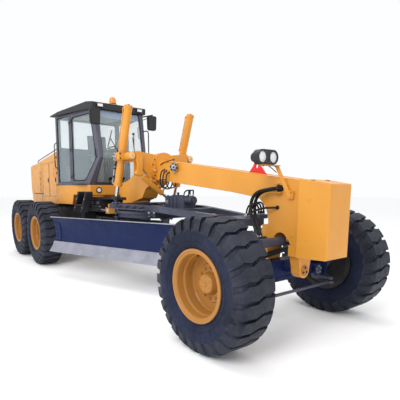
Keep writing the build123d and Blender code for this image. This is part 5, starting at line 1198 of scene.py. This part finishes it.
def roof_trim():
    """Lamp bezels, the beacon's collar and rings, fascia bolts and a small handle on the roof."""
    piece = Piece("roof_trim", "rear_frame", TRIM)
    for y in (-0.42, 0.42):
        corners = ((-0.056, -0.028), (-0.056, 0.028), (0.056, 0.028), (0.056, -0.028))
        piece.loop([(-0.0995, y + a, 3.1525 + b) for a, b in corners], 0.012, 0.004)
    piece.disc((-0.43, 0, 3.268), Z, 0.078, -0.004, 0.016, 0.004)
    for height in (3.3, 3.325):
        piece.put(ring(0.0655, 0.004, 40, height, 6), moved(-0.43, 0, 0), AMBER)
    piece.bolts([(-0.1305, y, 3.118) for y in (-0.3, -0.1, 0.1, 0.3)], X, 0.005, TRIM)
    handle = ((0.06, 3.2455), (0.06, 3.262), (-0.06, 3.262), (-0.06, 3.2455))
    piece.tube([(-1.2, y, z) for y, z in handle], 0.008)
    piece.done()


def cab_interior():
    """Levers with their bellows, instrument cluster, pedals, rear shelf, floor mat and ceiling."""
    piece = Piece("cab_interior", "rear_frame", TRIM)
    bellows = [(0, 0), (0, 0.03), (0.012, 0.022), (0.02, 0.027)]
    bellows += [(0.032, 0.018), (0.04, 0.022), (0.052, 0.01), (0.056, 0)]
    knob = [(-0.018, 0), (-0.016, 0.01), (0, 0.016), (0.014, 0.013), (0.02, 0)]
    for side in SIDES:
        y = side * 0.3
        piece.block((-0.66, y - 0.075, 1.695), (-0.42, y + 0.075, 2.22), 0.02, GREY)
        piece.block((-0.67, y - 0.085, 2.2), (-0.41, y + 0.085, 2.24), 0.012)
        for i in range(4):
            foot = Vector((-0.63 + 0.058 * i, y, 2.238))
            tip = foot + Vector((0.06, side * -0.01, 0.2 - 0.012 * i))
            piece.put(lathe(bellows, 16), at(foot, tip - foot), SEAL)
            piece.tube([foot, tip], 0.005, 8, "chrome_rod")
            piece.put(lathe(knob, 16), at(tip, tip - foot))
    cluster = [(-0.13, 0), (0.13, 0), (0.115, 0.085), (-0.115, 0.085)]
    turn = Matrix.Rotation(math.radians(62), 4, "Y") @ Matrix.Rotation(math.pi / 2, 4, "Z")
    piece.put(slab(cluster, 0, 0.045), moved(-0.42, 0, 2.32) @ turn)
    for y in (-0.14, 0.14):
        tilt = Matrix.Rotation(math.radians(-35), 4, "Y")
        piece.put(box(0.14, 0.08, 0.012, 0.004), moved(-0.34, y, 1.8) @ tilt, SEAL)
        piece.tube([(-0.35, y, 1.8), (-0.4, y, 1.695)], 0.009)
    piece.block((-1.605, -0.6, 1.695), (-1.32, 0.6, 2.1), 0.03, GREY)
    piece.block((-1.6, -0.66, 1.692), (-0.44, 0.44, 1.702), 0.003, SEAL)
    piece.block((-1.56, -0.44, 3.11), (-0.3, 0.44, 3.153), 0.012, GREY)
    piece.done()


def sun_band():
    """Tinted band across the top of the windscreen."""
    band = Piece("sun_band", "rear_frame", "window_glass")
    edges = [(z, out) for z in (2.955, 3.085) for out in (-0.036, -0.04)]
    points = [(cab_front(z) + out, y, z) for z, out in edges for y in (-0.43, 0.43)]
    faces = [[0, 1, 3, 2], [4, 6, 7, 5], [0, 4, 5, 1], [2, 3, 7, 6], [0, 2, 6, 4], [1, 5, 7, 3]]
    band.put((points, faces), material="tint_band")
    band.done()


def skirt_lamps():
    """Round lamps in the skirt's front and amber strips below it."""
    piece = Piece("skirt_lamps", "rear_frame", "lamp_lens")
    lens = [(0.004, 0), (0.004, 0.04), (0.01, 0.038), (0.015, 0.02), (0.016, 0)]
    for side in SIDES:
        middle = Vector((-0.34, side * 0.384, 1.59))
        piece.put(ring(0.05, 0.01, 40, 0.004, 10), at(middle, X), TRIM)
        piece.disc(middle, X, 0.047, -0.004, 0.006, 0.002, 32, TRIM)
        piece.put(lathe(lens, 32), at(middle, X))
        y = side * 0.398
        piece.block((-0.375, y - 0.115, 1.462), (-0.345, y + 0.115, 1.484), 0.004, AMBER)
        piece.block((-0.395, y - 0.12, 1.458), (-0.37, y + 0.12, 1.535), 0.003, TRIM)
    piece.bolts([(-0.34, y, 1.655) for y in (-0.5, -0.2, 0.2, 0.5)], X, 0.006, BODY)
    piece.done()


# Seat


def seat_pad(name, size, middle, turn):
    """Stuffed pad: swollen by a short cloth simulation from a slightly smaller block."""
    mesh = bpy.data.meshes.new(name)
    points, faces = box(*[s - PAD_SHRINK for s in size], PAD_EDGE)
    mesh.from_pydata(points, [], faces)
    pad = bpy.data.objects.new(name, mesh)
    SCENE.collection.objects.link(pad)
    bpy.context.view_layer.objects.active = pad
    for other in bpy.context.selected_objects:
        other.select_set(False)
    pad.select_set(True)
    remesh = pad.modifiers.new("remesh", "REMESH")
    remesh.mode = "VOXEL"
    remesh.voxel_size = PAD_VOXEL
    bpy.ops.object.modifier_apply(modifier=remesh.name)
    before = [v.co.copy() for v in pad.data.vertices]
    cloth = pad.modifiers.new("cloth", "CLOTH")
    cloth.settings.use_pressure = True
    cloth.settings.uniform_pressure_force = PAD_PRESSURE
    cloth.settings.effector_weights.gravity = 0.0
    for number in range(1, PAD_FRAMES + 1):
        SCENE.frame_set(number)
    bpy.ops.object.modifier_apply(modifier=cloth.name)
    SCENE.frame_set(1)
    for vertex, rest in zip(pad.data.vertices, before):
        move = vertex.co - rest
        if move.length > PAD_SWELL:
            vertex.co = rest + move * (PAD_SWELL / move.length)
    smooth = pad.modifiers.new("smooth", "SUBSURF")
    smooth.levels = smooth.render_levels = 1
    bpy.ops.object.modifier_apply(modifier=smooth.name)
    pad.data.transform(Matrix.Translation(middle) @ turn)
    pad.data.materials.append(MATERIALS["seat_cover"])
    for face in pad.data.polygons:
        face.use_smooth = True
    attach(pad, "rear_frame")
    return pad


def operator_seat():
    """Padded cushion, backrest and armrests on a plastic shell and a bellows pedestal."""
    lean = Matrix.Rotation(math.radians(-7.5), 4, "Y")
    cushion = seat_pad("seat_cushion", (0.44, 0.49, 0.115), (-0.925, 0, 2.088), Matrix())
    seat_pad("seat_back", (0.105, 0.45, 0.66), (-1.172, 0, 2.455), lean)
    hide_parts("operator_seat")
    piece = Piece("seat_shell", "rear_frame", TRIM)
    piece.put(box(0.4, 0.44, 0.035, 0.012), moved(-0.925, 0, 2.02))
    piece.put(box(0.024, 0.42, 0.6, 0.01), moved(-1.226, 0, 2.45) @ lean)
    for side in SIDES:
        y = side * 0.238
        piece.tube([(-1.17, y, 2.1), (-1.15, y, 2.3), (-0.86, y, 2.302)], 0.014, 12, bend=0.06)
        piece.put(box(0.28, 0.046, 0.032, 0.012), moved(-0.985, y, 2.318), "seat_cover")
    folds = [(1.8, 0)]
    for i in range(6):
        low = 1.8 + 0.034 * i
        folds += [(low, 0.105), (low + 0.017, 0.135)]
    folds += [(2.005, 0.105), (2.005, 0)]
    piece.put(lathe(folds, 28), moved(-0.93, 0, 0), SEAL)
    piece.put(box(0.34, 0.38, 0.108, 0.015), moved(-0.93, 0, 1.744))
    piece.done()


# Hood and rear frame


def along_hood(x, front, rear):
    return front + (HOOD_FRONT - x) / HOOD_LENGTH * (rear - front)


def hood_half(x):
    return along_hood(x, *HOOD_HALVES)


def hood_top(x):
    return along_hood(x, *HOOD_TOPS)


def hood_line(points, side, out=0.0005):
    return [Vector((x, side * (hood_half(x) + out), z)) for x, z in points]


def hood_trim():
    """Door seams, hinges, latches, studs and handles on the hood's sides, and seams and caps on its top."""
    piece = Piece("hood_trim", "rear_frame", BODY)
    for side in SIDES:
        for x0, x1 in ((-1.78, -2.38), (-2.42, -3.02)):
            door = hood_line([(x0, 1.45), (x1, 1.45), (x1, 2.22), (x0, 2.22)], side)
            piece.loop(door, 0.03, 0.003, 6, SEAL)
            for z in (1.6, 2.08):
                low, high = (side * (hood_half(x1) + out) for out in (-0.004, 0.01))
                piece.block((x1 + 0.004, low, z - 0.03), (x1 + 0.05, high, z + 0.03), 0.003)
            spot = hood_line([(x0 - 0.065, 1.82)], side, 0.0)[0]
            facing = Vector((0.057, side, 0))
            piece.put(box(0.05, 0.11, 0.01, 0.004), at(spot, facing), TRIM)
            piece.put(box(0.03, 0.075, 0.01, 0.004), at(spot + Y * side * 0.006, facing), SEAL)
        piece.tube(hood_line([(-3.16, 1.295), (-3.16, 2.27)], side), 0.003, 6, SEAL)
        for z in (2.297, 1.961, 1.704):
            spot = hood_line([(-1.712, z)], side, 0.0)[0]
            piece.disc(spot, Y * side, 0.017, -0.004, 0.018, 0.004, 20, TRIM)
        handle = hood_line([(-1.8, z) for z in (1.86, 1.87, 2.07, 2.08)], side)
        piece.tube(bowed(handle, Y * side * 0.045), 0.008, 10, AMBER, 0.03)
        piece.tube(hood_line([(-3.05, 1.505), (-4.02, 1.505)], side, 0.001), 0.01, 6, SEAL)
        panel = hood_line([(-3.335, 1.545), (-3.245, 1.545), (-3.245, 2.075), (-3.335, 2.075)], side)
        piece.loop(panel, 0.02, 0.004, 6)
        edge = [(x, side * (hood_half(x) - 0.075), hood_top(x)) for x in (-1.95, -2.55, -3.15, -3.75)]
        piece.bolts(edge, Z, 0.008, BODY, spin=0)
    for x in (-2.0, -3.2):
        half = hood_half(x) - 0.06
        piece.tube([(x, y, hood_top(x) + 0.0005) for y in (-half, half)], 0.003, 6, SEAL)
    piece.disc((-3.62, 0.0, hood_top(-3.62)), Z, 0.055, -0.004, 0.03, 0.006, 32, TRIM)
    top = hood_top(-2.75)
    piece.block((-2.95, -0.2, top - 0.035), (-2.55, 0.2, top + 0.012), 0.01)
    piece.done()


def tail_trim():
    """Rear lamps, grille bars and seal, and the bolts of the rear plate."""
    piece = Piece("tail_trim", "rear_frame", TRIM)
    for side in SIDES:
        y = side * 0.452
        piece.put(box(0.07, 0.15, 0.01, 0.004), at((-4.44, y, 1.935), -X, math.pi / 2))
        for z, lens in ((1.935 - 0.045, "red_lens"), (1.935, AMBER), (1.935 + 0.045, "lamp_lens")):
            piece.block((-4.449, y - 0.028, z - 0.02), (-4.438, y + 0.028, z + 0.02), 0.003, lens)
    for i in range(13):
        y = -0.4 + 0.8 * i / 12
        piece.tube([(-4.432, y, 1.765), (-4.432, y, 2.105)], 0.004, 6)
    corners = ((0.423, 1.757), (0.423, 2.113), (-0.423, 2.113), (-0.423, 1.757))
    piece.loop([(-4.4478, y, z) for y, z in corners], 0.02, 0.0022, 6, SEAL)
    places = [(-4.152 - 0.018, y, z) for z in (1.04, 1.17) for y in (-0.085, 0.085)]
    piece.bolts(places, -X, 0.013, spin=0)
    piece.done()


def ladder_foot(z):
    """Place along the machine of the ladders' slope at a height."""
    return -0.56 - 0.7 * (1.54 - z)


def ladder_trim():
    """Open tread bars and bolts of the two ladders."""
    piece = Piece("ladder_trim", "rear_frame", BLACK)
    for side in SIDES:
        for i in range(9):
            x = ladder_foot(1.3) + 0.03 + 0.045 * i
            piece.block((x, side * 0.62, 1.306), (x + 0.012, side * 0.735, 1.318), 0.002)
        for z in (1.25, 1.42):
            places = [(ladder_foot(z) + step, side * 0.742, z) for step in (0.035, 0.405)]
            piece.bolts(places, Y * side, 0.009, STEEL, spin=0)
    piece.done()


def chassis_trim():
    """Steel lines with their clamps, and bolts, along the rear frame's rails."""
    piece = Piece("chassis_lines", "rear_frame", BLACK)
    for side in SIDES:
        y = side * 0.468
        for z in (1.33, 1.36):
            start, end = (-0.98, y - side * 0.012, z + 0.05), (-0.17, y - side * 0.02, z)
            piece.tube([start, (-0.98, y, z), (-0.22, y, z), end], 0.007, 8, STEEL, 0.04)
        for x in (-0.85, -0.6, -0.35):
            piece.block((x - 0.015, side * 0.459, 1.312), (x + 0.015, side * 0.482, 1.378), 0.003)
        places = [(x, side * 0.46, z) for x in (-1.35, -2.0, -2.9, -3.6, -4.0) for z in (1.06, 1.2)]
        piece.bolts(places, Y * side, 0.012, spin=0)
    piece.done()


def axle_trim():
    """Bolts round the chain cases' covers, and pin bolts and a bar on the front axle."""
    piece = Piece("case_bolts", "rear_frame", BLACK)
    for side in SIDES:
        y = side * 0.8
        for x in (-1.7, -3.238):
            ends = [(x + a, y, AXLE_Z + b) for a, b in around(12, 0.165)]
            piece.bolts(ends, Y * side, 0.01, spin=0)
        places = [(-3.05 + 1.18 * i / 11, y, z) for i in range(12) for z in (AXLE_Z - 0.18, AXLE_Z + 0.18)]
        piece.bolts(places, Y * side, 0.009, spin=0)
    piece.done()
    pins = Piece("axle_pins", "front_frame", DARK)
    pins.bolts([(3.825, y, 0.68) for y in (-0.22, 0.22)], X, 0.01, BLUE, spin=0)
    pins.put(box(0.01, 0.3, 0.02, 0.003), moved(3.828, 0.0, 0.6), BLUE)
    pins.done()


def lean_trim(side):
    """Pin caps and washers of a lean bracket."""
    piece = side_piece("lean_pins", "lean_bracket", side, DARK)
    for face in SIDES:
        place = Vector((3.75 + face * 0.1198, side * 0.6, 0.62))
        piece.disc(place, X * face, 0.06, 0.0, 0.008, 0.003)
        cap_bolts = [place + Vector((face * 0.008, a, b)) for a, b in around(5, 0.044, 0.4)]
        piece.bolts(cap_bolts, X * face, 0.008, STEEL, spin=0)
    for face in SIDES:
        place = (3.86 + face * 0.0598, side * 0.6, 1.03)
        piece.disc(place, X * face, 0.026, 0.0, 0.01, 0.003, 24, STEEL)
    piece.disc((3.75, side * 0.76, 0.8698), Z, 0.03, 0.0, 0.01, 0.003, 32, STEEL)
    piece.done()


# Studio


def studio():
    bpy.ops.mesh.primitive_plane_add(size=160, location=(0, 0, 0))
    floor = bpy.context.object
    floor.name = "studio_floor"
    s = Shader("studio_floor")
    s.feed("Base Color", s.ramp(s.noise(0.6), 0.94, 0.97))
    s.even(Roughness=0.9)
    floor.data.materials.append(s.material)
    world = bpy.data.worlds.new("studio")
    SCENE.world = world
    world.use_nodes = True
    background = world.node_tree.nodes["Background"]
    background.inputs["Color"].default_value = (0.98, 0.99, 1.0, 1.0)
    background.inputs["Strength"].default_value = 1.0
    lights = (
        ("key", (6.5, -9.0, 8.0), (0.5, 0, 1.0), 5.0, 700),
        ("top", (0.0, -1.0, 9.0), (0, 0, 0), 7.0, 300),
    )
    for name, place, aim, size, power in lights:
        data = bpy.data.lights.new(name, "AREA")
        data.size = size
        data.energy = power
        light = bpy.data.objects.new(name, data)
        SCENE.collection.objects.link(light)
        turn = (Vector(aim) - Vector(place)).to_track_quat("-Z", "Y")
        light.matrix_world = Matrix.Translation(place) @ turn.to_matrix().to_4x4()


add_camera()
dress_nodes()
beam_hoses()
saddle_hoses()
drawbar_hoses()
nose_hoses()
for wheel, x, side in wheels():
    tread_ties(wheel, x, side)
    wheel_hardware(wheel, x, side)
saddle_trim()
lock_cylinder()
beam_seams()
block_trim()
lamp_trim()
shift_trim()
for side in SIDES:
    lift_trim(side)
    articulation_trim(side)
    door_trim(side)
    lean_trim(side)
drive_trim()
drawbar_trim()
circle_trim()
carriage_trim()
blade_trim()
cab_seals()
wipers()
grab_rails()
mirror_trim()
roof_trim()
cab_interior()
sun_band()
skirt_lamps()
operator_seat()
hood_trim()
tail_trim()
ladder_trim()
chassis_trim()
axle_trim()
studio()
